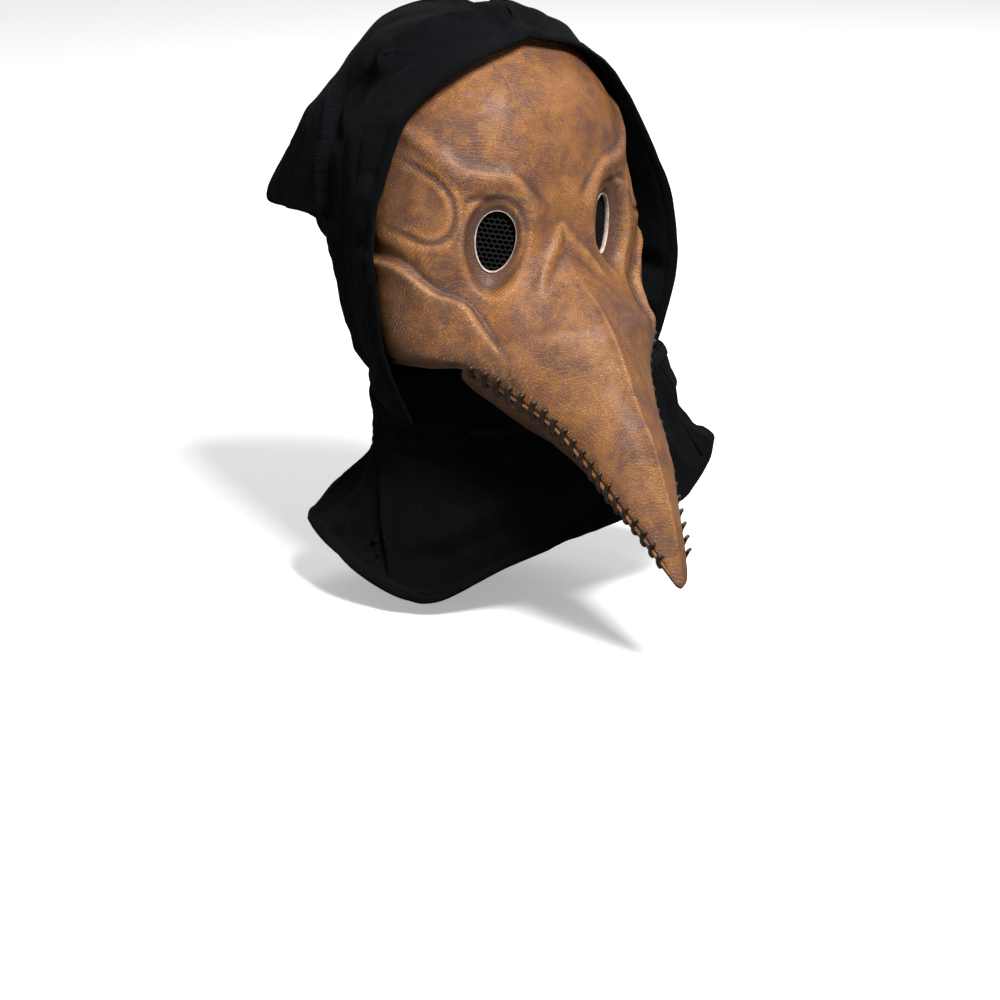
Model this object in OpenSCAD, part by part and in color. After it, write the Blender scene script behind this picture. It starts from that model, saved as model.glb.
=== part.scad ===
/* [Mask shell] */

// Wall thickness of the moulded mask shell, mm
shell_wall = 2.4; // [1.8:0.1:3.2]
// Wall thickness near the beak, mm
beak_wall = 2.0; // [1.4:0.1:2.6]
// Height of the sculpted brow, cheek and nose relief, as a factor
relief = 1.0; // [0:0.1:1.3]

/* [Eyes] */

// Width of each eye opening, mm
eye_w = 27; // [22:0.5:32]
// Height of each eye opening, mm
eye_h = 42; // [34:0.5:48]
// Yaw of each eye opening away from straight ahead, degrees
eye_yaw = 32; // [18:1:38]
// Pitch between the cells of the eye mesh, mm
mesh_pitch = 4.4; // [4:0.1:6]
// Width of the plastic between two cells, mm
mesh_web = 1.1; // [0.8:0.1:1.6]

/* [Lacing] */

// Number of stitches on each side of the beak
stitches = 20; // [14:1:24]
// Diameter of the lacing cord, mm
lace_d = 2.4; // [1.8:0.1:3]

/* [Pads] */

// Thickness of the forehead pad, mm
brow_pad_t = 8; // [5:0.5:10]
// Thickness of each cheek pad, mm
cheek_pad_t = 7; // [4:0.5:9]

/* [Strap] */

// Height of the elastic band, mm
strap_h = 22; // [18:1:25]
// Thickness of the elastic band, mm
strap_t = 1.4; // [1:0.1:1.8]
// Height of the band's centre above the eye line, mm
strap_z = 20; // [12:1:26]
// Radius of the rivet pins, mm
pin_r = 2.5; // [2:0.1:3]
// Radial running gap between a pin and its strap tab, mm
pin_gap = 0.05; // [0.02:0.01:0.1]

/* [Hood and cowl] */

// Thickness of the knitted cloth, mm
cloth_t = 2.0; // [1.4:0.1:3]
// Thickness of the cowl's two layers together, mm
cowl_t = 3.0; // [2:0.1:4]
// Diameter of the rolled front hem, mm
hem_d = 5.0; // [4:0.5:6]

/* [Hidden] */

$fn = 48;

// Mask sections from the hairline to the beak tip. Each holds the midline point, two
// control points and the edge point of the wearer's left half, [x, y, z] in mm.
ST = [
  [[0, -64, 130], [34, -64, 130], [66, -48, 120], [72, -26, 102]],
  [[0, -97, 98], [44, -98, 98], [86, -74, 86], [90, -20, 64]],
  [[0, -114, 54], [48, -117, 54], [102, -88, 44], [94, -22, 22]],
  [[0, -118, 8], [48, -124, 10], [117, -92, 2], [95, -26, -18]],
  [[0, -134, -16], [26, -127, -15], [122, -98, -28], [93, -30, -54]],
  [[0, -160, -35], [19, -150, -35], [120, -112, -52], [87, -40, -80]],
  [[0, -171, -46], [17, -165, -44], [106, -122, -58], [82, -80, -79]],
  [[0, -180, -57], [16, -173, -54], [83, -132, -66], [73.5, -112, -74]],
  [[0, -191, -75], [15, -184, -70], [56, -154, -78], [54.5, -134, -90]],
  [[0, -205, -95], [14, -197, -89], [42, -176, -94], [40.5, -159, -105]],
  [[0, -218, -112], [12, -211, -108], [34, -196, -113], [32, -180, -123]],
  [[0, -231, -138], [10, -226, -134], [26, -215, -137], [24.5, -203, -145.5]],
  [[0, -241, -163], [8, -237, -161], [18, -231, -161], [16.5, -223, -165]],
  [[0, -248, -182], [5.5, -246, -181], [11.5, -243, -181], [10, -239, -183]],
  [[0, -252, -194], [3.4, -251, -194], [6.4, -249.5, -194], [5.4, -248, -194]],
  [[0, -251, -199], [0.8, -251, -199], [1.4, -250, -199], [1.2, -249.5, -199]]
];

// Lower beak sections from the throat to the tip: two control points and the keel point.
// Section i starts at the edge point of mask section i + 7.
LO = [
  [[77, -103, -81], [43, -92, -110], [0, -88, -122]],
  [[57, -130, -102], [29, -115, -125], [0, -110, -131]],
  [[42, -155, -114], [21, -143, -133], [0, -138, -137]],
  [[31, -178, -131], [16, -169, -145], [0, -165, -148]],
  [[23, -203, -151], [12, -195, -161], [0, -193, -163]],
  [[15.5, -223, -169], [8, -218, -176], [0, -217, -178]],
  [[9.5, -239, -185], [5.5, -237, -190], [0, -236, -191.5]],
  [[5, -247, -196], [2.6, -246.5, -198.4], [0, -246, -199.5]],
  [[1.1, -249.5, -199.6], [0.6, -249.4, -200], [0, -249.3, -200.2]]
];

// Centre line the wall thickness is measured towards, one point per mask section.
CL = [
  [0, -20, 60], [0, -20, 60], [0, -20, 40], [0, -20, 8], [0, -30, -20], [0, -60, -45],
  [0, -88, -66], [0, -118, -84], [0, -146, -102], [0, -170, -116], [0, -190, -128],
  [0, -211, -149], [0, -229, -169], [0, -241.5, -185], [0, -248.5, -196], [0, -250, -199.3]
];

// Raised and hollow places of the face: [centre], reach, height. Both halves take them.
BUMPS = [
  [[46, -110, 5], 20, -7.5], [[70, -88, 58], 12, 2.6], [[60, -98, 52], 11, 3.0],
  [[49, -106, 49], 10, 3.2], [[36, -111, 47], 9, 3.0], [[27, -115, 36], 8, 2.6],
  [[24, -116, 20], 8, 2.4], [[93, -68, 0], 11, 3.2], [[86, -86, -12], 10, 3.2],
  [[76, -98, -22], 9, 3.0], [[95, -66, -34], 14, -4.0], [[84, -84, -42], 13, -4.0],
  [[74, -104, -46], 11, -4.0], [[70, -116, -58], 9, -3.0], [[86, -78, 28], 14, -1.5],
  [[15, -118, -1], 7, 2.0], [[22, -124, -14], 7, 2.0], [[0, -118, 50], 12, -1.2]
];

function cr_seg(a, b, c, d, u) =
  0.5 * (2 * b + u * (c - a) + u * u * (2 * a - 5 * b + 4 * c - d)
  + u * u * u * (3 * b - a - 3 * c + d));
function cr(P, t) =
  let (n = len(P), i = min(n - 2, floor(t)), u = t - i,
       a = P[max(0, i - 1)], d = P[min(n - 1, i + 2)])
  cr_seg(a, P[i], P[i + 1], d, u);
function bez(a, b, c, d, u) =
  let (w = 1 - u) w * w * w * a + 3 * w * w * u * b + 3 * w * u * u * c + u * u * u * d;
function flip(p, k) = [k * p[0], p[1], p[2]];
function unit(v) = v / max(norm(v), 0.000001);
function relief_at(p) =
  let (q = [abs(p[0]), p[1], p[2]])
  relief * sum_list([for (b = BUMPS) b[2] * exp(-pow(norm(q - b[0]) / b[1], 2))]);
function sum_list(v, i = 0) = i >= len(v) ? 0 : v[i] + sum_list(v, i + 1);

// Point of the smooth mask at section t and side s, s from -1 (right) to 1 (left).
function mask_base(t, s) =
  let (S = cr(ST, t)) flip(bez(S[0], S[1], S[2], S[3], abs(s)), s < 0 ? -1 : 1);
function inward(t, p) = unit(cr(CL, t) - p);
function mask_out(t, s) =
  let (p = mask_base(t, s)) p - relief_at(p) * inward(t, p);
function mask_in(t, s, w) =
  let (p = mask_out(t, s), c = cr(CL, t), r = norm(c - p))
  p + unit(c - p) * min(w, 0.42 * r);
function wall_at(t) = t < 6 ? shell_wall : t > 9 ? beak_wall
  : shell_wall + (beak_wall - shell_wall) * (t - 6) / 3;
// Point of the lower beak, t as on the mask, q from -1 to 1 through the keel at 0.
function low_out(t, q) =
  let (S = cr(ST, t), L = cr(LO, t - 7))
  flip(bez(L[2], L[1], L[0], S[3], abs(q)), q < 0 ? -1 : 1);
function low_in(t, q, w) =
  let (p = low_out(t, q), c = cr(CL, t), r = norm(c - p))
  p + unit(c - p) * min(w, 0.42 * r);

// Closed wall between an outer and an inner grid of the same size.
module wall_solid(A, B) {
  n = len(A);
  m = len(A[0]);
  pts = concat([for (r = A) each r], [for (r = B) each r]);
  o = n * m;
  top = [for (i = [0:n - 2], j = [0:m - 2]) each
    [[i * m + j, i * m + j + 1, (i + 1) * m + j + 1], [i * m + j, (i + 1) * m + j + 1, (i + 1) * m + j]]];
  bot = [for (f = top) [f[0] + o, f[2] + o, f[1] + o]];
  e1 = [for (j = [0:m - 2]) each [[j, o + j, o + j + 1], [j, o + j + 1, j + 1]]];
  k = (n - 1) * m;
  e2 = [for (j = [0:m - 2]) each
    [[k + j + 1, o + k + j + 1, o + k + j], [k + j + 1, o + k + j, k + j]]];
  e3 = [for (i = [0:n - 2]) each
    [[(i + 1) * m, o + (i + 1) * m, o + i * m], [(i + 1) * m, o + i * m, i * m]]];
  e4 = [for (i = [0:n - 2]) each let (a = i * m + m - 1, b = a + m)
    [[a, o + a, o + b], [a, o + b, b]]];
  polyhedron(points = pts, faces = concat(top, bot, e1, e2, e3, e4), convexity = 8);
}

// Round cord along a list of points, with closed ends.
module cord(P, r, sides = 6) {
  n = len(P);
  rings = [for (i = [0:n - 1])
    let (t = unit(P[min(n - 1, i + 1)] - P[max(0, i - 1)]),
         h = abs(t[2]) > 0.9 ? [0, 1, 0] : [0, 0, 1],
         a = unit(cross(t, h)), b = cross(t, a))
    [for (k = [0:sides - 1]) P[i] + r * (cos(360 * k / sides) * a + sin(360 * k / sides) * b)]];
  pts = concat([for (g = rings) each g], [P[0]], [P[n - 1]]);
  side = [for (i = [0:n - 2], k = [0:sides - 1]) let (l = (k + 1) % sides) each
    [[i * sides + k, i * sides + l, (i + 1) * sides + l],
     [i * sides + k, (i + 1) * sides + l, (i + 1) * sides + k]]];
  c0 = [for (k = [0:sides - 1]) [n * sides, (k + 1) % sides, k]];
  c1 = [for (k = [0:sides - 1]) [n * sides + 1, (n - 1) * sides + k, (n - 1) * sides + (k + 1) % sides]];
  polyhedron(points = pts, faces = concat(side, c0, c1), convexity = 8);
}

// ---- Mask ----

eye_c = [44, -105, 4.4];

module eye_frame(k) {
  mirror([k < 0 ? 1 : 0, 0, 0])
    translate(eye_c)
      rotate([0, 0, eye_yaw])
        rotate([90, 0, 0])
          rotate([0, 0, 8])
            children();
}

module egg(w, h) {
  polygon([for (a = [0:10:350])
    [w / 2 * cos(a) * (1 + 0.10 * sin(a)), h / 2 * sin(a)]]);
}

module mask_shell() {
  nt = 40;
  ns = 30;
  A = [for (i = [0:nt]) let (t = 15 * i / nt)
    [for (j = [0:ns]) mask_out(t, 2 * j / ns - 1)]];
  B = [for (i = [0:nt]) let (t = 15 * i / nt)
    [for (j = [0:ns]) mask_in(t, 2 * j / ns - 1, wall_at(t))]];
  color("#a8764e")
    resize([0, 0, 0])
      difference() {
        wall_solid(A, B);
        for (k = [-1, 1])
          eye_frame(k)
            translate([0, 0, -26])
              linear_extrude(height = 52)
                egg(eye_w, eye_h);
      }
}

module lower_beak() {
  nt = 24;
  ns = 16;
  e = 0.985;
  A = [for (i = [0:nt]) let (t = 7 + 8 * i / nt)
    [for (j = [0:ns]) low_out(t, -e * (2 * j / ns - 1))]];
  B = [for (i = [0:nt]) let (t = 7 + 8 * i / nt)
    [for (j = [0:ns]) low_in(t, -e * (2 * j / ns - 1), beak_wall)]];
  color("#9c6c46")
    wall_solid(A, B);
}

// Edge point and the two directions along and across the laced seam.
function seam_pt(t) = cr(ST, t)[3];
function seam_up(t) = unit(bez(cr(ST, t)[0], cr(ST, t)[1], cr(ST, t)[2], cr(ST, t)[3], 0.93) - seam_pt(t));
function seam_dn(t) = unit(low_out(t, 0.93) - seam_pt(t));
function seam_out(t) = -inward(t, seam_pt(t));
lace_start = 7.1;
lace_span = 5.9;
function lace_pt(n, j) =
  let (dt = lace_span / stitches, t0 = lace_start + dt * n, k = j / 6,
       t = t0 + dt * (k < 0.55 ? 0.55 * k / 0.55 : 0.55 + 0.45 * (k - 0.55) / 0.45),
       half = 4.6 - 2.4 * n / stitches, p = seam_pt(t), o = seam_out(t),
       u = seam_up(t), d = seam_dn(t))
  j == 0 ? p + half * u + 0.2 * o :
  j == 1 ? p + 0.7 * half * u + 2.0 * o :
  j == 2 ? p + 2.4 * o :
  j == 3 ? p + 0.7 * half * d + 2.0 * o :
  j == 4 ? p + half * d + 0.2 * o :
           p - min(4.2, 0.4 * norm(cr(CL, t) - p)) * o;

module lace_left() {
  P = [for (n = [0:stitches - 1], j = [0:5]) lace_pt(n, j)];
  color("#2b2522")
    cord(P, lace_d / 2, 6);
}

module lace_right() {
  P = [for (n = [0:stitches - 1], j = [0:5]) flip(lace_pt(n, j), -1)];
  color("#2b2522")
    cord(P, lace_d / 2, 6);
}

// ---- Eyes ----

module eye_mesh(k) {
  w = eye_w + 9;
  h = eye_h + 9;
  color("#0b0b0c")
    eye_frame(k)
      translate([0, 0, -6.4])
        difference() {
          linear_extrude(height = 1.2)
            egg(w, h);
          for (i = [-4:4], j = [-6:6])
            let (x = mesh_pitch * (i + (abs(j) % 2) / 2), y = mesh_pitch * 0.866 * j)
              if (pow(x / (w / 2 - 5.5), 2) + pow(y / (h / 2 - 5.5), 2) < 1)
                translate([x, y, -1])
                  rotate([0, 0, 30])
                    cylinder(r = (mesh_pitch - mesh_web) / sqrt(3), h = 3.4, $fn = 6);
        }
}

module eye_rim(k) {
  color("#e9e2d6")
    eye_frame(k)
      translate([0, 0, -5.1])
        linear_extrude(height = 4.6)
          difference() {
            egg(eye_w - 0.1, eye_h - 0.1);
            egg(eye_w - 1.9, eye_h - 1.9);
          }
}

module eye_mesh_right() { eye_mesh(-1); }
module eye_mesh_left() { eye_mesh(1); }
module eye_rim_right() { eye_rim(-1); }
module eye_rim_left() { eye_rim(1); }

// ---- Pads ----

module pad(t0, t1, s0, s1, th) {
  nt = 8;
  ns = 10;
  A = [for (i = [0:nt]) let (t = t0 + (t1 - t0) * i / nt)
    [for (j = [0:ns]) mask_in(t, s0 + (s1 - s0) * j / ns, shell_wall + 0.05)]];
  B = [for (i = [0:nt]) let (t = t0 + (t1 - t0) * i / nt)
    [for (j = [0:ns])
      let (e = min(1, 0.35 + 2.2 * min(i, nt - i) / nt, 0.35 + 2.2 * min(j, ns - j) / ns))
      mask_in(t, s0 + (s1 - s0) * j / ns, shell_wall + 0.05 + th * e)]];
  color("#33353a")
    wall_solid(A, B);
}

module forehead_pad() { pad(0.7, 1.9, -0.5, 0.5, brow_pad_t); }
module cheek_pad_left() { pad(3.7, 5.2, 0.70, 0.93, cheek_pad_t); }
module cheek_pad_right() { pad(3.7, 5.2, -0.93, -0.70, cheek_pad_t); }

// ---- Strap ----

pivot = [0, -38, strap_z];
tab_x = 88;
arc_c = [0, 26];
arc_r = 62;
arc_a = 38;
side_k = (tab_x - arc_r) / (1 - sin(arc_a));
side_c = [arc_c[0] - side_k * sin(arc_a), arc_c[1] - side_k * cos(arc_a)];
side_r = arc_r + side_k;
layer = strap_t + 1.3;

// Point of the band's inner face, a in degrees from the back towards the wearer's left.
function band_pt(a, o) =
  a <= arc_a ? [arc_c[0] + (arc_r + o) * sin(a), arc_c[1] + (arc_r + o) * cos(a)]
  : [side_c[0] + (side_r + o) * sin(a), side_c[1] + (side_r + o) * cos(a)];

module band(a0, lift) {
  n = 44;
  // lift eases in between 34 and 46 degrees
  function off(a) = lift * (a < 34 ? 1 : a > 46 ? 0 : (46 - a) / 12);
  A = [for (i = [0:n]) let (a = a0 + (90 - a0) * i / n)
    band_pt(abs(a), 0)];
  inner = [for (i = [0:n]) let (a = a0 + (90 - a0) * i / n, p = band_pt(abs(a), off(abs(a))))
    [a < 0 ? -p[0] : p[0], p[1]]];
  outer = [for (i = [n:-1:0])
    let (a = a0 + (90 - a0) * i / n, p = band_pt(abs(a), off(abs(a)) + strap_t))
    [a < 0 ? -p[0] : p[0], p[1]]];
  translate([0, 0, strap_z - strap_h / 2])
    linear_extrude(height = strap_h)
      polygon(concat(inner, outer));
}

module strap_left() {
  color("#1c1c1e")
    band(-31, layer);
}

module strap_right() {
  color("#1c1c1e")
    mirror([1, 0, 0])
      band(-31, 0);
}

module strap_tab(k) {
  color("#26262a")
    mirror([k < 0 ? 1 : 0, 0, 0])
      difference() {
        union() {
          translate([tab_x, pivot[1], strap_z])
            rotate([0, 90, 0])
              cylinder(r = 9, h = strap_t);
          translate([tab_x, pivot[1], strap_z - 9])
            cube([strap_t, side_c[1] - pivot[1] - 0.01, 18]);
        }
        translate([tab_x - 1, pivot[1], strap_z])
          rotate([0, 90, 0])
            cylinder(r = pin_r + pin_gap, h = strap_t + 2);
      }
}

module strap_tab_right() { strap_tab(-1); }
module strap_tab_left() { strap_tab(1); }

// Rivet: outer head on the shell, shank through shell and tab.
module rivet(k) {
  color("#6d6a63")
    mirror([k < 0 ? 1 : 0, 0, 0])
      translate([0, pivot[1], strap_z])
        rotate([0, 90, 0])
          union() {
            translate([0, 0, tab_x - 3])
              cylinder(r = pin_r, h = 14.6);
            translate([0, 0, tab_x + strap_t + 0.3])
              cylinder(r = 5, h = 3.2);
            translate([0, 0, tab_x + 10.6])
              cylinder(r = 6, h = 1.2);
          }
}

module rivet_right() { rivet(-1); }
module rivet_left() { rivet(1); }

// Domed cap pressed on the inner end of the shank.
module rivet_cap(k) {
  color("#6d6a63")
    mirror([k < 0 ? 1 : 0, 0, 0])
      translate([tab_x - 0.3, pivot[1], strap_z])
        rotate([0, -90, 0])
          rotate_extrude()
            polygon([[pin_r, 0], [6, 0], [6, 0.8], [4.6, 1.9], [2.4, 2.7], [2.4, 2.7], [pin_r, 2.7]]);
}

module rivet_cap_right() { rivet_cap(-1); }
module rivet_cap_left() { rivet_cap(1); }

// Three-bar slider bent to the curve of the band.
module slider_ring(r0, r1, z0, z1, a) {
  translate([arc_c[0], arc_c[1], 0])
    rotate([0, 0, 90 - a / 2])
      rotate_extrude(angle = a)
        translate([r0, strap_z + z0])
          square([r1 - r0, z1 - z0]);
}

module strap_slider() {
  g = 0.2;
  r0 = arc_r - g;
  r3 = arc_r + layer + strap_t + g;
  h = strap_h / 2 + g;
  color("#18181a")
    difference() {
      slider_ring(r0 - 1.4, r3 + 1.4, -h - 2.4, h + 2.4, 15);
      slider_ring(r0, arc_r + strap_t + g, -h, h, 21);
      slider_ring(arc_r + layer - g, r3, -h, h, 21);
    }
}

// ---- Hood ----

// Rows from the throat to the forehead: front hem, two control points, back seam.
HR = [
  [[-82, -62, -122], [-82, -20, -124], [-56, 42, -122], [-4, 46, -120]],
  [[-92, -58, -97], [-91, -10, -98], [-62, 56, -96], [-5, 58, -94]],
  [[-100, -55, -70], [-100, -4, -70], [-68, 68, -68], [-6, 76, -66]],
  [[-105, -56, -35], [-106, 0, -34], [-70, 82, -36], [-12, 98, -38]],
  [[-105, -52, 7], [-106, 0, 4], [-74, 80, -10], [-38, 116, -16]],
  [[-99, -54, 36], [-107, 14, 34], [-88, 96, 8], [-44, 178, -20]],
  [[-88, -61, 76], [-104, 10, 72], [-86, 90, 64], [-36, 137, 41]],
  [[-75, -71, 99], [-94, -12, 100], [-78, 62, 98], [-28, 102, 80]],
  [[-50, -82, 118], [-72, -36, 129], [-62, 26, 138], [-20, 62, 124]],
  [[-19, -84, 128], [-40, -60, 140], [-30, -24, 149], [-8, 2, 145]],
  [[-0.3, -80, 132], [-0.3, -72, 136], [-0.3, -64, 139], [0, -56, 140]]
];
HL = [
  [[88, -86, -122], [94, -24, -122], [58, 44, -122], [-4, 46, -120]],
  [[101, -84, -100], [102, -16, -98], [66, 56, -96], [-5, 58, -94]],
  [[111, -84, -76], [110, -10, -70], [80, 70, -68], [-6, 76, -66]],
  [[118, -88, -36], [116, 4, -34], [88, 88, -36], [-12, 98, -38]],
  [[113, -89, 8], [114, 12, 6], [76, 96, -10], [-38, 116, -16]],
  [[101, -87, 40], [111, 10, 36], [80, 110, 10], [-44, 178, -20]],
  [[85, -82, 76], [109, 0, 72], [72, 96, 62], [-36, 137, 41]],
  [[67, -79, 103], [96, -20, 99], [62, 66, 98], [-28, 102, 80]],
  [[43, -78, 120], [68, -40, 122], [46, 26, 130], [-20, 62, 124]],
  [[19, -80, 127], [36, -62, 135], [22, -26, 144], [-8, 2, 145]],
  [[0.3, -80, 132], [0.3, -72, 136], [0.3, -64, 139], [0, -56, 140]]
];

function net(H, t, u) = let (R = cr(H, t)) bez(R[0], R[1], R[2], R[3], u);
function net_n(H, t, u, k) =
  let (e = 0.04, n = len(H) - 1,
       a = net(H, min(n, t + e), u) - net(H, max(0, t - e), u),
       b = net(H, t, min(1, u + e)) - net(H, t, max(0, u - e)))
  k * unit(cross(a, b));

// k is 1 when the cross product of the row and column directions points outwards.
module panel(H, k, u0, u1, inset, th, nt, nu) {
  n = len(H) - 1;
  A = [for (i = [0:nt]) let (t = n * i / nt) [for (j = [0:nu])
    let (u = u0 + (u1 - u0) * (k > 0 ? nu - j : j) / nu)
    net(H, t, u) - inset * net_n(H, t, u, k)]];
  B = [for (i = [0:nt]) let (t = n * i / nt) [for (j = [0:nu])
    let (u = u0 + (u1 - u0) * (k > 0 ? nu - j : j) / nu)
    net(H, t, u) - (inset + th) * net_n(H, t, u, k)]];
  wall_solid(A, B);
}

module hood_right() {
  color("#15171a")
    panel(HR, 1, 0.0, 0.995, 0, cloth_t, 34, 14);
}

module hood_left() {
  color("#15171a")
    panel(HL, -1, 0.0, 0.995, 0, cloth_t, 34, 14);
}

module hem_roll(H, k) {
  n = len(H) - 1;
  P = [for (i = [0:44]) let (t = n * i / 44)
    net(H, t, 0) - cloth_t / 2 * net_n(H, t, 0, k) + 0.4 * hem_d * unit(net(H, t, 0) - net(H, t, 0.06))];
  color("#111315")
    cord(P, hem_d / 2, 8);
}

module hood_hem_right() { hem_roll(HR, 1); }
module hood_hem_left() { hem_roll(HL, -1); }

module hood_seam_tape() {
  n = len(HR) - 1;
  P = [for (i = [2:46]) let (t = n * i / 48)
    net(HR, t, 1) - (cloth_t + 1.5) * unit(net_n(HR, t, 0.97, 1) + net_n(HL, t, 0.97, -1))];
  color("#0e0f11")
    cord(P, 1.5, 6);
}

module bond_tape(k) {
  s0 = 0.955;
  A = [for (i = [0:20]) let (t = 0.6 + 4.6 * i / 20)
    [for (j = [0:2]) let (s = k * (s0 + 0.03 * (k > 0 ? j : 2 - j) / 2), p = mask_out(t, s))
      p - 1.3 * inward(t, p)]];
  B = [for (i = [0:20]) let (t = 0.6 + 4.6 * i / 20)
    [for (j = [0:2]) let (s = k * (s0 + 0.03 * (k > 0 ? j : 2 - j) / 2), p = mask_out(t, s))
      p - 0.1 * inward(t, p)]];
  color("#202225")
    wall_solid(A, B);
}

module bond_tape_right() { bond_tape(-1); }
module bond_tape_left() { bond_tape(1); }

// ---- Cowl ----

// Rings from the neck to the hem, fifteen points each, from the back round the wearer's
// right, the front and the wearer's left, in the axes of the shoulders. The face looks
// 35 degrees to the left of the shoulders.
CW = [
  [[20, 46, -112], [-14, 44, -113], [-40, 32, -115], [-57, 10, -118], [-61, -14, -121], [-54, -38, -125],
   [-36, -58, -129], [-6, -70, -130], [26, -72, -130], [58, -62, -126], [88, -50, -118], [116, -34, -102],
   [136, -8, -90], [112, 22, -94], [62, 42, -106]],
  [[24, 54, -132], [-14, 50, -134], [-40, 36, -138], [-52, 10, -144], [-57, -16, -146], [-58, -44, -148],
   [-36, -68, -152], [-4, -80, -153], [32, -84, -152], [68, -80, -148], [102, -66, -138], [134, -42, -124],
   [148, -10, -114], [118, 26, -116], [68, 48, -126]],
  [[28, 66, -155], [-16, 60, -158], [-44, 40, -160], [-55, 8, -164], [-63, -18, -166], [-64, -48, -174],
   [-40, -74, -182], [-6, -88, -184], [32, -94, -178], [72, -92, -170], [110, -80, -158], [142, -50, -146],
   [149, -8, -132], [122, 34, -138], [74, 58, -146]],
  [[32, 80, -180], [-16, 72, -184], [-50, 48, -188], [-78, 8, -188], [-84, -20, -190], [-70, -54, -200],
   [-44, -78, -212], [-10, -90, -216], [30, -96, -202], [72, -94, -187], [112, -80, -174], [148, -48, -164],
   [160, -4, -146], [130, 42, -154], [80, 68, -166]],
  [[36, 90, -206], [-16, 80, -210], [-60, 52, -214], [-98, 12, -213], [-101, -20, -212], [-78, -60, -225],
   [-48, -82, -241], [-16, -90, -246], [27, -96, -222], [71, -94, -202], [115, -76, -189], [153, -44, -186],
   [173, 0, -158], [138, 50, -172], [88, 78, -190]]
];

function ring_pt(R, a) =
  let (n = len(R), i = floor(a) % n, u = a - floor(a))
  cr_seg(R[(i + n - 1) % n], R[i], R[(i + 1) % n], R[(i + 2) % n], u);
shoulder_turn = 35;
function turned(p) = [p[0] * cos(shoulder_turn) + p[1] * sin(shoulder_turn),
  -p[0] * sin(shoulder_turn) + p[1] * cos(shoulder_turn), p[2]];
function cowl_pt(v, a) = turned(ring_pt(cr(CW, v), a));
function cowl_n(v, a) =
  let (e = 0.05, n = len(CW) - 1,
       p = cowl_pt(min(n, v + e), a) - cowl_pt(max(0, v - e), a),
       q = cowl_pt(v, a + e) - cowl_pt(v, a + 15 - e))
  unit(cross(p, q));

module cowl_band(a0, a1, v0, v1, th, nv, na) {
  A = [for (i = [0:nv]) let (v = v0 + (v1 - v0) * i / nv) [for (j = [0:na])
    let (a = a0 + (a1 - a0) * j / na) cowl_pt(v, (a + 15) % 15)]];
  B = [for (i = [0:nv]) let (v = v0 + (v1 - v0) * i / nv) [for (j = [0:na])
    let (a = a0 + (a1 - a0) * j / na) cowl_pt(v, (a + 15) % 15) - th * cowl_n(v, (a + 15) % 15)]];
  wall_solid(A, B);
}

// Bound seam that joins the hood's lower edge to the top of the cowl.
module neck_binding() {
  na = 75;
  m = na + 1;
  V = [0.12, 0.42];
  function shell_at(o) = [for (v = V) [for (j = [0:na - 1]) let (a = 15 * j / na)
    cowl_pt(v, a) + o * cowl_n(v, a)]];
  A = shell_at(1.7);
  B = shell_at(0.1);
  pts = concat(A[0], A[1], B[0], B[1]);
  color("#0e1012")
    polyhedron(points = pts, convexity = 8, faces = [for (j = [0:na - 1])
      let (l = (j + 1) % na, p = na, q = 2 * na, r = 3 * na) each [
        [j, l, p + l], [j, p + l, p + j],
        [q + j, r + l, q + l], [q + j, r + j, r + l],
        [j, q + l, l], [j, q + j, q + l],
        [p + j, p + l, r + l], [p + j, r + l, r + j]]]);
}

module cowl_front() {
  color("#141619")
    cowl_band(3.52, 11.48, 0, 4, cowl_t, 15, 30);
}

module cowl_back() {
  color("#141619")
    cowl_band(11.52, 18.48, 0, 4, cowl_t, 15, 26);
}

module cowl_hem() {
  P = [for (i = [0:119]) let (a = 15 * i / 120)
    cowl_pt(4, a) - cowl_t / 2 * cowl_n(4, a)
    + 2.1 * unit(cowl_pt(4, a) - cowl_pt(3.9, a))];
  color("#101214")
    cord(concat(P, [P[0]]), 2.2, 6);
}

mask_shell();
lower_beak();
lace_right();
lace_left();
eye_mesh_right();
eye_mesh_left();
eye_rim_right();
eye_rim_left();
forehead_pad();
cheek_pad_right();
cheek_pad_left();
rivet_right();
rivet_left();
rivet_cap_right();
rivet_cap_left();
strap_tab_right();
strap_tab_left();
strap_right();
strap_left();
strap_slider();
hood_right();
hood_left();
hood_hem_right();
hood_hem_left();
hood_seam_tape();
bond_tape_right();
bond_tape_left();
neck_binding();
cowl_front();
cowl_back();
cowl_hem();
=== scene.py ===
import math

import bmesh
import bpy
import numpy as np
from mathutils import Matrix, Vector
from mathutils.kdtree import KDTree


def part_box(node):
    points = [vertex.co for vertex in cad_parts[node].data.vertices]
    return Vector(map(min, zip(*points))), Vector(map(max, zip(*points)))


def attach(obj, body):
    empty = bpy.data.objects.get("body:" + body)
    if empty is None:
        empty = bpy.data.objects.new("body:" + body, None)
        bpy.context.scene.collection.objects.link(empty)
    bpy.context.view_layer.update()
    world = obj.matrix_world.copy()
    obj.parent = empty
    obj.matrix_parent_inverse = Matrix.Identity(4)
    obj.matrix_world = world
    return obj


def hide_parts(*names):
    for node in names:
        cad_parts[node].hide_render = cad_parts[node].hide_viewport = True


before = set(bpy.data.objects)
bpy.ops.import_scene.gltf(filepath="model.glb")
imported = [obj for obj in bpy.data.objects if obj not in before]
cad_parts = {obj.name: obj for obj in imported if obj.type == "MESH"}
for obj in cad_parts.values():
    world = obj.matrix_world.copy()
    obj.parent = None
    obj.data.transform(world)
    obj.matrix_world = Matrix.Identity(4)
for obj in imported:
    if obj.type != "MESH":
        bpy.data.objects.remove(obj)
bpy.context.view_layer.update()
MM = 0.001
SIDES = ((-1, "right"), (1, "left"))  # sign of x on each side of the wearer
SIDE_NAME = dict(SIDES)

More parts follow.
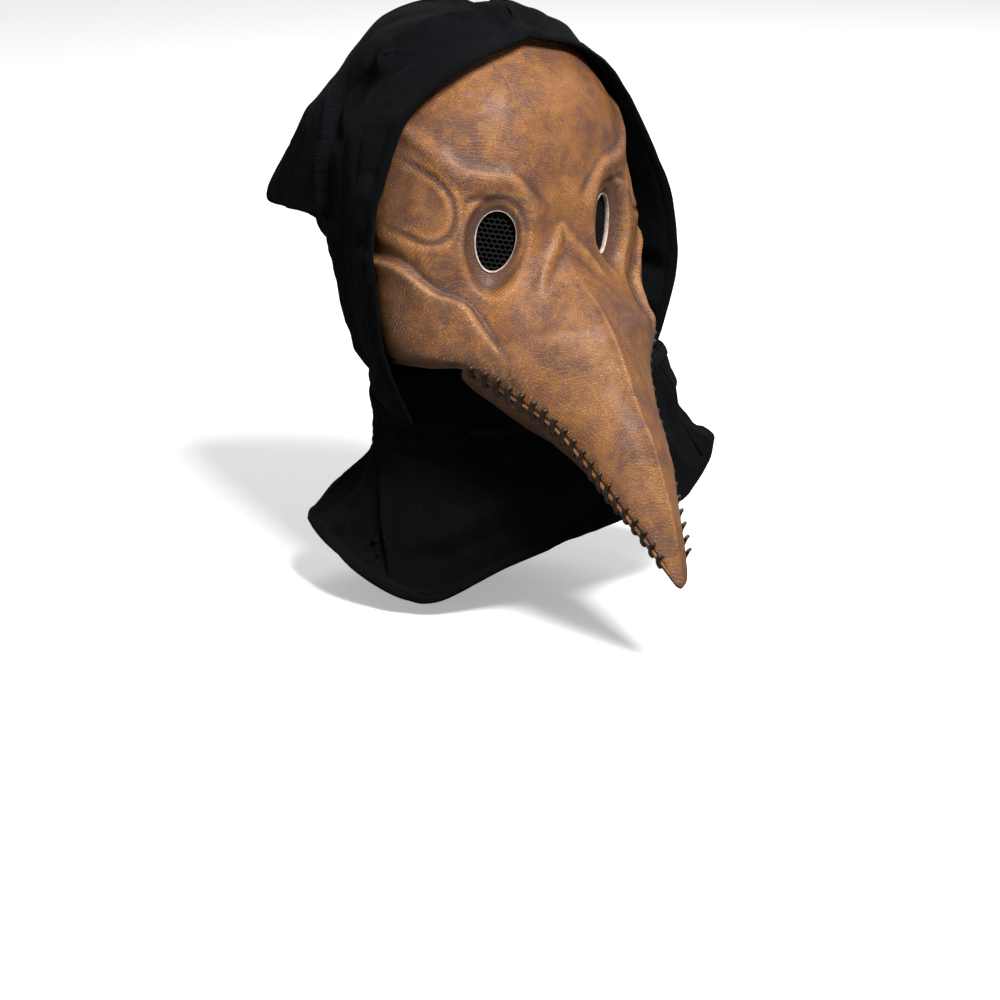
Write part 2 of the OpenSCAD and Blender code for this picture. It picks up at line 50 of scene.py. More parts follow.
# ---------------------------------------------------------------- surfaces (mm)
# mask sections, hairline to beak tip: midline point, two controls, edge point
FACE_ROWS = np.array([
    [(0, -64, 130), (34, -64, 130), (66, -48, 120), (72, -26, 102)],
    [(0, -97, 98), (44, -98, 98), (86, -74, 86), (90, -20, 64)],
    [(0, -114, 54), (48, -117, 54), (102, -88, 44), (94, -22, 22)],
    [(0, -118, 8), (48, -124, 10), (117, -92, 2), (95, -26, -18)],
    [(0, -134, -16), (26, -127, -15), (122, -98, -28), (93, -30, -54)],
    [(0, -160, -35), (19, -150, -35), (120, -112, -52), (87, -40, -80)],
    [(0, -171, -46), (17, -165, -44), (106, -122, -58), (82, -80, -79)],
    [(0, -180, -57), (16, -173, -54), (83, -132, -66), (73.5, -112, -74)],
    [(0, -191, -75), (15, -184, -70), (56, -154, -78), (54.5, -134, -90)],
    [(0, -205, -95), (14, -197, -89), (42, -176, -94), (40.5, -159, -105)],
    [(0, -218, -112), (12, -211, -108), (34, -196, -113), (32, -180, -123)],
    [(0, -231, -138), (10, -226, -134), (26, -215, -137), (24.5, -203, -145.5)],
    [(0, -241, -163), (8, -237, -161), (18, -231, -161), (16.5, -223, -165)],
    [(0, -248, -182), (5.5, -246, -181), (11.5, -243, -181), (10, -239, -183)],
    [(0, -252, -194), (3.4, -251, -194), (6.4, -249.5, -194), (5.4, -248, -194)],
    [(0, -251, -199), (0.8, -251, -199), (1.4, -250, -199), (1.2, -249.5, -199)],
], float)
# lower beak sections, throat to tip: two controls and the keel
LOWER_ROWS = np.array([
    [(77, -103, -81), (43, -92, -110), (0, -88, -122)],
    [(57, -130, -102), (29, -115, -125), (0, -110, -131)],
    [(42, -155, -114), (21, -143, -133), (0, -138, -137)],
    [(31, -178, -131), (16, -169, -145), (0, -165, -148)],
    [(23, -203, -151), (12, -195, -161), (0, -193, -163)],
    [(15.5, -223, -169), (8, -218, -176), (0, -217, -178)],
    [(9.5, -239, -185), (5.5, -237, -190), (0, -236, -191.5)],
    [(5, -247, -196), (2.6, -246.5, -198.4), (0, -246, -199.5)],
    [(1.1, -249.5, -199.6), (0.6, -249.4, -200), (0, -249.3, -200.2)],
], float)
# centre line of the shell, one point per section
CORE_LINE = np.array([
    (0, -20, 60), (0, -20, 60), (0, -20, 40), (0, -20, 8), (0, -30, -20), (0, -60, -45),
    (0, -88, -66), (0, -118, -84), (0, -146, -102), (0, -170, -116), (0, -190, -128),
    (0, -211, -149), (0, -229, -169), (0, -241.5, -185), (0, -248.5, -196), (0, -250, -199.3),
], float)

# sculpted lines of the wearer's left half (the right half mirrors them)
BROW = [(88, -46, 82), (79, -65, 72), (70, -87, 58), (62, -97, 52), (49, -106, 49), (36, -111, 47),
        (28, -115, 37), (23, -116, 22), (25, -118, 8)]
BROW_FOLD = [(72, -84, 66), (60, -98, 57), (48, -106, 54), (36, -112, 52), (26, -115, 44),
             (17, -116, 33), (11, -117, 27)]
TEMPLE = [(88, -56, 58), (81, -77, 51), (75, -88, 44), (71, -94, 36), (70, -97, 27),
          (72, -98, 17), (77, -95, 9), (85, -87, 6), (92, -74, 9), (97, -56, 13)]
LID = [(66, -97, 32), (58, -104, 35), (49, -107, 33), (41, -110, 27), (37, -112, 18)]
UNDER = [(99, -44, -10), (97, -66, -9), (93, -80, -15), (88, -87, -22), (82, -95, -27), (74, -104, -29),
         (69, -109, -33), (66, -115, -40), (64, -124, -49), (62, -132, -56), (60, -138, -63), (58, -142, -70)]
ARCH = [(97, -50, 4), (93, -70, 0), (88, -84, -10), (80, -96, -19), (70, -106, -25)]
NOSE = [(1, -118, 11), (6, -121, 3), (12, -123, -4), (18, -125, -11), (23, -128, -19),
        (28, -132, -27), (34, -139, -38)]
NOSE_FOLD = [(0, -124, -5), (6, -125, -9), (11, -127, -15), (16, -130, -23), (20, -135, -32),
             (23, -143, -43)]
EYE_C = np.array((44.0, -105.0, 4.4))
EYE_YAW, EYE_ROLL = 32.0, 8.0  # degrees that each eye hole is turned outwards, and its own tilt
EYE_W, EYE_H, EYE_EGG = 27.0, 42.0, 0.10  # the hole, and how much wider it is at its top
SHELL_T, BEAK_THIN, LOWER_T = 2.4, 0.4, 2.0  # walls: face, how much thinner the beak is, lower beak


def spline(P, t):
    """Catmull-Rom through the rows of P at the parameters t."""
    P = np.asarray(P, float)
    n = len(P)
    t = np.asarray(t, float)
    i = np.clip(np.floor(t).astype(int), 0, n - 2)
    u = (t - i).reshape(t.shape + (1,) * (P.ndim - 1))
    a, b, c, d = P[np.maximum(0, i - 1)], P[i], P[i + 1], P[np.minimum(n - 1, i + 2)]
    return 0.5 * (2 * b + u * (c - a) + u * u * (2 * a - 5 * b + 4 * c - d) + u**3 * (3 * b - a - 3 * c + d))


def bezier(a, b, c, d, s):
    """Cubic curve from a to d with the controls b and c."""
    w = 1 - s
    return w**3 * a + 3 * w * w * s * b + 3 * w * s * s * c + s**3 * d


def unit(V):
    return V / np.maximum(np.linalg.norm(V, axis=-1, keepdims=True), 1e-9)


def arc_lengths(path):
    """How far along a path each of its points lies."""
    return np.concatenate([[0], np.cumsum(np.linalg.norm(np.diff(path, axis=0), axis=1))])


def mask_base(T, S):
    """Smooth face surface at the sections T and the places S across, -1 right edge to 1 left edge."""
    R = spline(FACE_ROWS, T)
    s = np.abs(S)[None, :, None]
    P = bezier(R[:, 0][:, None], R[:, 1][:, None], R[:, 2][:, None], R[:, 3][:, None], s)
    P[..., 0] *= np.where(S < 0, -1, 1)[None]
    return P


def grid_normals(P, out):
    """Unit normals of a grid, all on one side: the side that mostly faces away from the points out."""
    N = unit(np.cross(np.gradient(P, axis=0), np.gradient(P, axis=1)))
    return N if np.sum(N * (P - out)) > 0 else -N


def smooth_line(pts, n=10):
    """Curve through pts, n steps from each to the next."""
    P = np.asarray(pts, float)
    return spline(P, np.linspace(0, len(P) - 1, (len(P) - 1) * n + 1))


def to_line(P, N, line):
    """Distance to a polyline, signed distance across it (positive towards the up side), and how far along."""
    L = smooth_line(line)
    a, b = L[:-1], L[1:]
    ab = b - a
    ll = np.sum(ab * ab, -1)
    best = np.full(len(P), 1e9)
    sd = np.zeros(len(P))
    al = np.zeros(len(P))
    for k in range(len(a)):
        t = np.clip((P - a[k]) @ ab[k] / ll[k], 0, 1)
        q = a[k] + t[:, None] * ab[k]
        v = P - q
        d = np.linalg.norm(v, axis=1)
        m = d < best
        best[m] = d[m]
        side = np.einsum("ij,ij->i", v[m], np.cross(N[m], ab[k]))
        sd[m] = np.sign(side) * d[m]
        al[m] = (k + t[m]) / len(a)
    return best, sd, al


def bell(x, s):
    """Bell curve of reach s."""
    return np.exp(-((x / s) ** 2))


def ease(x, a, b):
    """0 at a easing to 1 at b."""
    t = np.clip((x - a) / (b - a), 0, 1)
    return t * t * (3 - 2 * t)


def soften(A, r):
    """Grid A blurred over r cells."""
    k = np.exp(-np.linspace(-2, 2, 2 * r + 1) ** 2)
    k /= k.sum()
    for axis in (0, 1):
        A = np.apply_along_axis(lambda q: np.convolve(np.pad(q, r, mode="edge"), k, "valid"), axis, A)
    return A


def mottle(P, scale, seed):
    """Smooth random lumps at the points P, scale mm apart, in -1..1."""
    n = 24
    lattice = np.random.RandomState(seed).rand(n, n, n) * 2 - 1
    q = P / scale + 50.0
    i = np.floor(q).astype(int)
    f = q - i
    f = f * f * (3 - 2 * f)
    r = 0
    for dx in (0, 1):
        for dy in (0, 1):
            for dz in (0, 1):
                near = [f[:, a] if step else 1 - f[:, a] for a, step in enumerate((dx, dy, dz))]
                w = near[0] * near[1] * near[2]
                r = r + w * lattice[(i[:, 0] + dx) % n, (i[:, 1] + dy) % n, (i[:, 2] + dz) % n]
    return r


def eye_axes(k):
    """Across, up and outward axes of the eye on side k."""
    a = math.radians(EYE_YAW) * k
    out = np.array((math.sin(a), -math.cos(a), 0.0))
    across = np.array((math.cos(a), math.sin(a), 0.0)) * k
    up = np.array((0.0, 0.0, 1.0))
    r = math.radians(EYE_ROLL)
    return across * math.cos(r) + up * math.sin(r), up * math.cos(r) - across * math.sin(r), out


def egg(a):
    """Outline of an eye hole at the angles a."""
    return EYE_W / 2 * np.cos(a) * (1 + EYE_EGG * np.sin(a)), EYE_H / 2 * np.sin(a)


# ---------------------------------------------------------------- mesh helpers
def add_mesh(name, verts, faces, smooth=True):
    """Object from points in mm."""
    me = bpy.data.meshes.new(name)
    me.from_pydata([tuple(v) for v in np.asarray(verts, float) * MM], [], faces)
    me.validate()
    me.update()
    if smooth:
        me.polygons.foreach_set("use_smooth", [True] * len(me.polygons))
    ob = bpy.data.objects.new(name, me)
    bpy.context.scene.collection.objects.link(ob)
    return ob


def grid_faces(n, m, off=0, flip=False):
    f = []
    for i in range(n - 1):
        for j in range(m - 1):
            a = off + i * m + j
            q = (a, a + 1, a + m + 1, a + m)
            f.append(q[::-1] if flip else q)
    return f


def wall_faces(n, m):
    """Faces of a closed wall between an outer grid (first) and an inner grid (after it)."""
    o = n * m
    f = grid_faces(n, m) + grid_faces(n, m, o, True)
    for j in range(m - 1):
        f.append((j + 1, j, o + j, o + j + 1))
        k = (n - 1) * m
        f.append((k + j, k + j + 1, o + k + j + 1, o + k + j))
    for i in range(n - 1):
        a, b = i * m, (i + 1) * m
        f.append((a, b, o + b, o + a))
        a, b = a + m - 1, b + m - 1
        f.append((b, a, o + a, o + b))
    return f


def recalc(ob):
    """Turn all faces of a mesh outwards."""
    bm = bmesh.new()
    bm.from_mesh(ob.data)
    bmesh.ops.recalc_face_normals(bm, faces=bm.faces)
    bm.to_mesh(ob.data)
    bm.free()
    return ob


def wall(name, A, B):
    """Closed wall between the outer grid A and the inner grid B."""
    points = np.concatenate([A.reshape(-1, 3), B.reshape(-1, 3)])
    return recalc(add_mesh(name, points, wall_faces(*A.shape[:2])))


def ring_faces(n, sides, off=0, closed=False):
    """Faces of n rings in a row, joined into a loop or with both ends capped."""
    F = []
    for i in range(n if closed else n - 1):
        a, b = off + i * sides, off + (i + 1) % n * sides
        for k in range(sides):
            j = (k + 1) % sides
            F.append((a + k, a + j, b + j, b + k))
    if not closed:
        last = off + (n - 1) * sides
        F.append(tuple(range(off, off + sides))[::-1])
        F.append(tuple(range(last, last + sides)))
    return F


def tube(name, paths, radii, sides):
    """Round tubes along several point lists, radii one list per path, ends closed."""
    V, F = [], []
    for P, R in zip(paths, radii):
        T = unit(np.gradient(P, axis=0))
        ref = np.array((0, 0, 1.0)) if abs(T[0][2]) < 0.9 else np.array((0, 1.0, 0))
        a = np.cross(T[0], ref)
        F += ring_faces(len(P), sides, len(V))
        for i in range(len(P)):
            a = unit(a - T[i] * np.dot(a, T[i]))
            b = np.cross(T[i], a)
            for k in range(sides):
                w = 2 * math.pi * k / sides
                V.append(P[i] + R[i] * (math.cos(w) * a + math.sin(w) * b))
    return add_mesh(name, V, F)


def set_attr(ob, name, values):
    a = ob.data.attributes.get(name) or ob.data.attributes.new(name, "FLOAT", "POINT")
    a.data.foreach_set("value", np.asarray(values, np.float32))


def finish_piece(ob, body, slot, mat, *nodes):
    """Give a piece its looks, its body and the CAD nodes that it replaces; slot is not used."""
    ob.data.materials.clear()
    ob.data.materials.append(mat)
    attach(ob, body)
    if nodes:
        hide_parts(*nodes)
    return ob


# ---------------------------------------------------------------- materials
class Nodes:
    """A material, with short ways to add nodes to it."""

    def __init__(self, name):
        self.mat = bpy.data.materials.new(name)
        self.mat.use_nodes = True
        self.tree = self.mat.node_tree
        self.tree.nodes.clear()
        out = self.tree.nodes.new("ShaderNodeOutputMaterial")
        self.bsdf = self.tree.nodes.new("ShaderNodeBsdfPrincipled")
        self.tree.links.new(self.bsdf.outputs[0], out.inputs[0])

    def feed(self, node, inputs):
        """Give each named input of a node a link, a number, a vector or a colour."""
        for name, value in inputs.items():
            socket = node.inputs[name]
            if isinstance(value, bpy.types.NodeSocket):
                self.tree.links.new(value, socket)
            else:
                socket.default_value = (*value, 1) if socket.type == "RGBA" else value

    def surface(self, inputs):
        """Set the surface's own inputs; gives the finished material."""
        self.feed(self.bsdf, inputs)
        return self.mat

    def add(self, kind, inputs, output=0, **settings):
        """Add a node; gives one of its outputs."""
        node = self.tree.nodes.new(kind)
        for name, value in settings.items():
            setattr(node, name, value)
        self.feed(node, inputs)
        return node.outputs[output]

    def coords(self, rot=(0, 0, 0), scale=(1000, 1000, 1000)):
        """Object coordinates, by default with 1 unit to the millimetre."""
        place = self.add("ShaderNodeTexCoord", {}, "Object")
        return self.add("ShaderNodeMapping", {"Vector": place, "Rotation": rot, "Scale": scale})

    def noise(self, vec, scale, detail=4, rough=0.5, dist=0.0):
        return self.add("ShaderNodeTexNoise", {"Vector": vec, "Scale": scale, "Detail": detail,
                                               "Roughness": rough, "Distortion": dist}, "Fac")

    def wave(self, vec, scale, dist, detail_scale):
        return self.add("ShaderNodeTexWave", {"Vector": vec, "Scale": scale, "Distortion": dist, "Detail": 2,
                                              "Detail Scale": detail_scale}, "Fac",
                        wave_type="BANDS", bands_direction="X", wave_profile="SIN")

    def cracks(self, vec, scale):
        return self.add("ShaderNodeTexVoronoi", {"Vector": vec, "Scale": scale}, "Distance",
                        feature="DISTANCE_TO_EDGE")

    def ramp(self, fac, stops):
        colour = self.add("ShaderNodeValToRGB", {"Fac": fac}, "Color")
        elements = colour.node.color_ramp.elements
        while len(elements) < len(stops):
            elements.new(0.5)
        for element, (position, value) in zip(elements, stops):
            element.position = position
            element.color = (*value, 1)
        return colour

    def remap(self, value, a, b, c=0.0, d=1.0):
        """Map a..b to c..d, clamped."""
        return self.add("ShaderNodeMapRange", {"Value": value, "From Min": a, "From Max": b,
                                               "To Min": c, "To Max": d})

    def math(self, op, a, b=0.0):
        return self.add("ShaderNodeMath", {0: a, 1: b}, operation=op)

    def total(self, *terms):
        """Sum of values, each with its weight."""
        parts = [self.math("MULTIPLY", value, weight) for value, weight in terms]
        result = parts[0]
        for part in parts[1:]:
            result = self.math("ADD", result, part)
        return result

    def mix(self, fac, a, b):
        """Colour a with fac of colour b."""
        return self.add("ShaderNodeMix", {0: fac, 6: a, 7: b}, 2, data_type="RGBA")

    def blend(self, fac, a, b):
        """Value a with fac of value b."""
        return self.add("ShaderNodeMix", {0: fac, 2: a, 3: b}, data_type="FLOAT")

    def attr(self, name):
        return self.add("ShaderNodeAttribute", {}, "Fac", attribute_name=name)

    def bump(self, height, distance, strength):
        return self.add("ShaderNodeBump", {"Height": height, "Distance": distance, "Strength": strength})


PLUM, UMBER = (0.160, 0.058, 0.032), (0.275, 0.098, 0.018)
OCHRE, TAN = (0.490, 0.182, 0.014), (0.660, 0.270, 0.036)
# the last two: a dark wash for the folds that also serves as painted shade on the lower beak, and painted
# shade towards the sides
SCORE, WASH_AND_SHADE, SHADE = (0.110, 0.042, 0.022), (0.064, 0.024, 0.014), (0.090, 0.032, 0.004)
# the first: a painted highlight, pale on the ridges and the beak's crest
RIDGE_HIGHLIGHT, LINT = (0.60, 0.36, 0.20), (0.035, 0.040, 0.043)


def leather_material():
    """Moulded latex painted as old leather: ochre with plum patches, hatched all over with fine lines."""
    m = Nodes("antiqued_leather")
    v = m.coords()
    big = m.noise(v, 0.030, 4, 0.55, 0.8)
    mid = m.noise(v, 0.12, 5, 0.62, 0.6)
    fine = m.noise(v, 0.8, 4, 0.6)
    grain = m.noise(v, 3.0, 3, 0.6)
    tone = m.total((big, 0.55), (mid, 0.45))
    col = m.ramp(tone, [(0.37, PLUM), (0.45, UMBER), (0.52, OCHRE), (0.64, TAN)])
    # hatch: fine scored lines whose direction changes from patch to patch, crossed by a second set
    hatch = None
    for rot in ((0.3, 0.5, 0.9), (0.8, 0.1, 2.1), (0.2, 1.0, 0.1), (1.3, 0.4, 1.4)):
        w = m.coords(rot)
        lines = m.wave(w, 0.25, 3.2, 0.45)
        if hatch is not None:
            lines = m.blend(m.remap(m.noise(w, 0.05, 2, 0.5), 0.38, 0.62), hatch, lines)
        hatch = lines
    cross = m.wave(m.coords((0.5, 0.9, 2.6)), 0.21, 5.0, 0.6)
    pores = m.cracks(m.coords((0.4, 0.3, 0.8), (1000, 560, 1000)), 1.0)
    cells = m.remap(hatch, 0.16, 0.46)
    for value, *span in ((cross, 0.05, 0.42, 0.35), (fine, 0.25, 0.55, 0.55), (pores, 0.02, 0.20, 0.15)):
        cells = m.math("MULTIPLY", cells, m.remap(value, *span))
    scored = m.math("SUBTRACT", 1.0, cells)
    col = m.mix(m.math("MULTIPLY", scored, 0.82), col, SCORE)
    # dark wash in the folds; painted shade towards the sides and over the lower beak; painted highlight, pale
    # on the ridges
    cav, side = m.attr("cav"), m.attr("side")
    col = m.mix(m.remap(m.total((cav, 1.0), (mid, -0.25)), 0.02, -0.60, 0, 0.85), col, WASH_AND_SHADE)
    col = m.mix(m.math("MULTIPLY", side, m.remap(mid, 0.25, 0.7, 0.92, 0.60)), col, SHADE)
    # painted highlight: pale colour on the raised parts
    ridges = m.remap(m.total((cav, 1.0), (mid, 0.3)), 0.26, 0.80, 0, 0.55)
    col = m.mix(m.math("MULTIPLY", ridges, cells), col, RIDGE_HIGHLIGHT)
    rough = m.remap(m.total((grain, 0.4), (scored, 0.6)), 0.2, 0.8, 0.30, 0.54)
    height = m.total((cells, 1.0), (fine, 0.5), (grain, 0.25))
    return m.surface({"Base Color": col, "Roughness": rough, "Specular IOR Level": 0.7, "Coat Weight": 0.14,
                      "Coat Roughness": 0.42, "Normal": m.bump(height, 0.00055, 1.0)})


def cloth_material(name, base, tint, pitch, rib, sheen):
    """Knitted cloth: ribs along v at the given pitch in mm, small loops across, fuzz and lint."""
    m = Nodes(name)
    v = m.coords()
    fine = m.noise(v, 1.3, 4, 0.7)
    fuzz = m.noise(v, 4.5, 2, 0.6)
    big = m.noise(v, 0.018, 3, 0.5)
    ribs = m.math("SINE", m.total((m.attr("u"), 2 * math.pi / pitch), (m.noise(v, 0.06, 2, 0.5), 1.6)))
    loops = m.math("SINE", m.total((m.attr("v"), 2 * math.pi / (pitch * 0.62)), (ribs, 0.9)))
    knit = m.total((ribs, 0.7), (loops, 0.3))
    col = m.mix(m.remap(fine, 0.35, 0.65), base, tint)
    col = m.mix(m.remap(knit, -0.8, 0.9, 0.45, 0.0), col, tuple(x * 0.4 for x in base))
    col = m.mix(m.remap(big, 0.38, 0.62, 0.0, 0.35), col, tuple(x * 1.5 for x in tint))
    col = m.mix(m.remap(m.noise(v, 1.1, 2, 0.4), 0.735, 0.76, 0.0, 0.6), col, LINT)
    height = m.total((knit, rib), (fine, 0.7), (fuzz, 0.5))
    return m.surface({"Base Color": col, "Roughness": 0.95, "Specular IOR Level": 0.06, "Sheen Weight": sheen,
                      "Sheen Roughness": 0.4, "Sheen Tint": (0.60, 0.72, 0.80),
                      "Normal": m.bump(height, 0.0005, 0.8)})


def simple_material(name, col, rough, scale=1.0, amount=0.3, metallic=0.0, bump=0.0002, col2=None, spec=0.5):
    """Mottled surface: col with patches of col2, or of col darkened by amount."""
    m = Nodes(name)
    v = m.coords()
    a = m.noise(v, 0.25 * scale, 4, 0.6)
    b = m.noise(v, 1.8 * scale, 4, 0.6)
    patches = m.remap(m.total((a, 0.6), (b, 0.4)), 0.38, 0.62)
    return m.surface({"Base Color": m.mix(patches, col, col2 or tuple(x * (1 - amount) for x in col)),
                      "Roughness": m.remap(b, 0.3, 0.7, rough * 0.85, min(1, rough * 1.15)),
                      "Metallic": metallic, "Specular IOR Level": spec, "Normal": m.bump(b, bump, 0.6)})


LEATHER = leather_material()
HOOD = cloth_material("hood_knit", (0.0024, 0.0030, 0.0039), (0.0036, 0.0045, 0.0058), 1.5, 0.55, 0.010)
# the cowl's knit: the hood's black knit made darker, as painted shade below the mask
COWL_SHADED = cloth_material("cowl_knit", (0.0018, 0.0022, 0.0028), (0.0026, 0.0034, 0.0042), 2.1, 0.9, 0.006)
# the hems' knit: the hood's black knit made darker, as painted shade on the turned edges
HEM_SHADED = cloth_material("hem_knit_shaded", (0.0019, 0.0024, 0.0031), (0.0028, 0.0035, 0.0045), 1.5, 0.5, 0.008)
BIND = cloth_material("binding_tape", (0.0030, 0.0040, 0.0046), (0.0044, 0.0058, 0.0066), 1.0, 0.4, 0.012)
ELASTIC = cloth_material("woven_elastic", (0.0060, 0.0066, 0.0074), (0.0100, 0.0110, 0.0120), 1.57, 0.7, 0.03)
LACE = simple_material("waxed_lace", (0.006, 0.006, 0.007), 0.34, scale=1.6, bump=0.0005,
                       col2=(0.050, 0.024, 0.014))
NET = simple_material("eye_net", (0.0016, 0.0017, 0.0020), 0.6, spec=0.2)
EDGE = simple_material("cut_edge", (0.60, 0.54, 0.50), 0.6, col2=(0.30, 0.20, 0.16))
FOAM = simple_material("pad_foam", (0.030, 0.031, 0.035), 0.95, scale=2.2, amount=0.45, bump=0.0009)
BRASS = simple_material("aged_rivet", (0.36, 0.29, 0.17), 0.38, amount=0.4, metallic=1.0, bump=0.0001)
TAB = simple_material("tab_leather", (0.022, 0.020, 0.019), 0.5, amount=0.35, bump=0.0004)
PLASTIC = simple_material("slider_plastic", (0.014, 0.014, 0.015), 0.36, amount=0.2, bump=0.0001)


# ---------------------------------------------------------------- the shell
def sculpt(P, N):
    """Outward displacement in mm at points P (n x 3) with normals N."""
    Q = P.copy()
    Q[:, 0] = np.abs(Q[:, 0])
    M = N.copy()
    M[:, 0] = np.where(P[:, 0] < 0, -M[:, 0], M[:, 0])
    d = np.zeros(len(Q))
    # eye socket
    v = Q - np.array((46, -110, 5.0))
    d += -7.0 * np.exp(-(v[:, 0] / 20) ** 2 - (v[:, 1] / 20) ** 2 - (v[:, 2] / 24) ** 2)
    # brow ridge with a fold above it
    dist, _, along = to_line(Q, M, BROW)
    ends = ease(along, -0.02, 0.05) * ease(along, 1.0, 0.86)
    d += 3.9 * bell(dist, 7.0) * (0.5 + 0.5 * ends)
    dist, _, along = to_line(Q, M, BROW_FOLD)
    ends = ease(along, 0, 0.15) * ease(along, 1.0, 0.7)
    d += (-1.2 * bell(dist, 2.2) - 0.9 * bell(dist, 6.5)) * ends
    # temple panel: a groove with a soft bulge inside
    dist, _, along = to_line(Q, M, TEMPLE)
    ends = ease(along, 0.0, 0.12) * ease(along, 1.0, 0.86)
    d += (-1.5 * bell(dist, 1.7) + 0.5 * bell(dist - 4.2, 2.2)) * (0.35 + 0.65 * ends)
    r = np.linalg.norm((Q - np.array((88, -76, 29.0))) / np.array((1, 1, 1.15)), axis=1)
    d += -2.6 * np.exp(-((r / 20) ** 4)) + 1.6 * bell(r, 12)
    # arch over the cheek with an undercut edge
    _, across, along = to_line(Q, M, UNDER)
    fade = ease(along, 1.0, 0.66)
    above = ease(across, -2.3, 2.3)
    up = 2.6 * above * bell(np.maximum(across, 0), 11)
    down = -4.4 * (1 - above) * bell(np.maximum(-across, 0), 15)
    d += (up + down) * fade
    d += 1.3 * bell(to_line(Q, M, ARCH)[0], 6)
    # lid fold
    dist, _, along = to_line(Q, M, LID)
    d += -2.4 * bell(dist, 2.6) * ease(along, 0, 0.2) * ease(along, 1.0, 0.75)
    # nose ridges, fold between ridge and crest
    dist, _, along = to_line(Q, M, NOSE)
    d += 2.3 * bell(dist, 3.8) * ease(along, 1.0, 0.55)
    dist, _, along = to_line(Q, M, NOSE_FOLD)
    d += -1.4 * bell(dist, 3.0) * ease(along, 1.0, 0.5)
    # small lumps and hollows: centre, reach, height
    for c, reach, high in (((0, -118, 50), 13, -1.2), ((34, -104, 84), 22, 1.4), ((12, -119, 30), 9, 1.2),
                           ((100, -84, -18), 8, 1.8), ((90, -80, -8), 5, -1.1)):
        d += high * bell(np.linalg.norm(Q - np.array(c, float), axis=1), reach)
    # irregular hand-modelled surface
    d += 0.55 * mottle(P, 26, 3) + 0.32 * mottle(P, 11, 5) + 0.12 * mottle(P, 5, 8)
    return d


def inner_face(P, C, thick):
    """Grid P moved in by thick towards the points C, and never as far as half way."""
    v = C - P
    r = np.linalg.norm(v, axis=-1, keepdims=True)
    return P + v / r * np.minimum(thick, 0.42 * r)


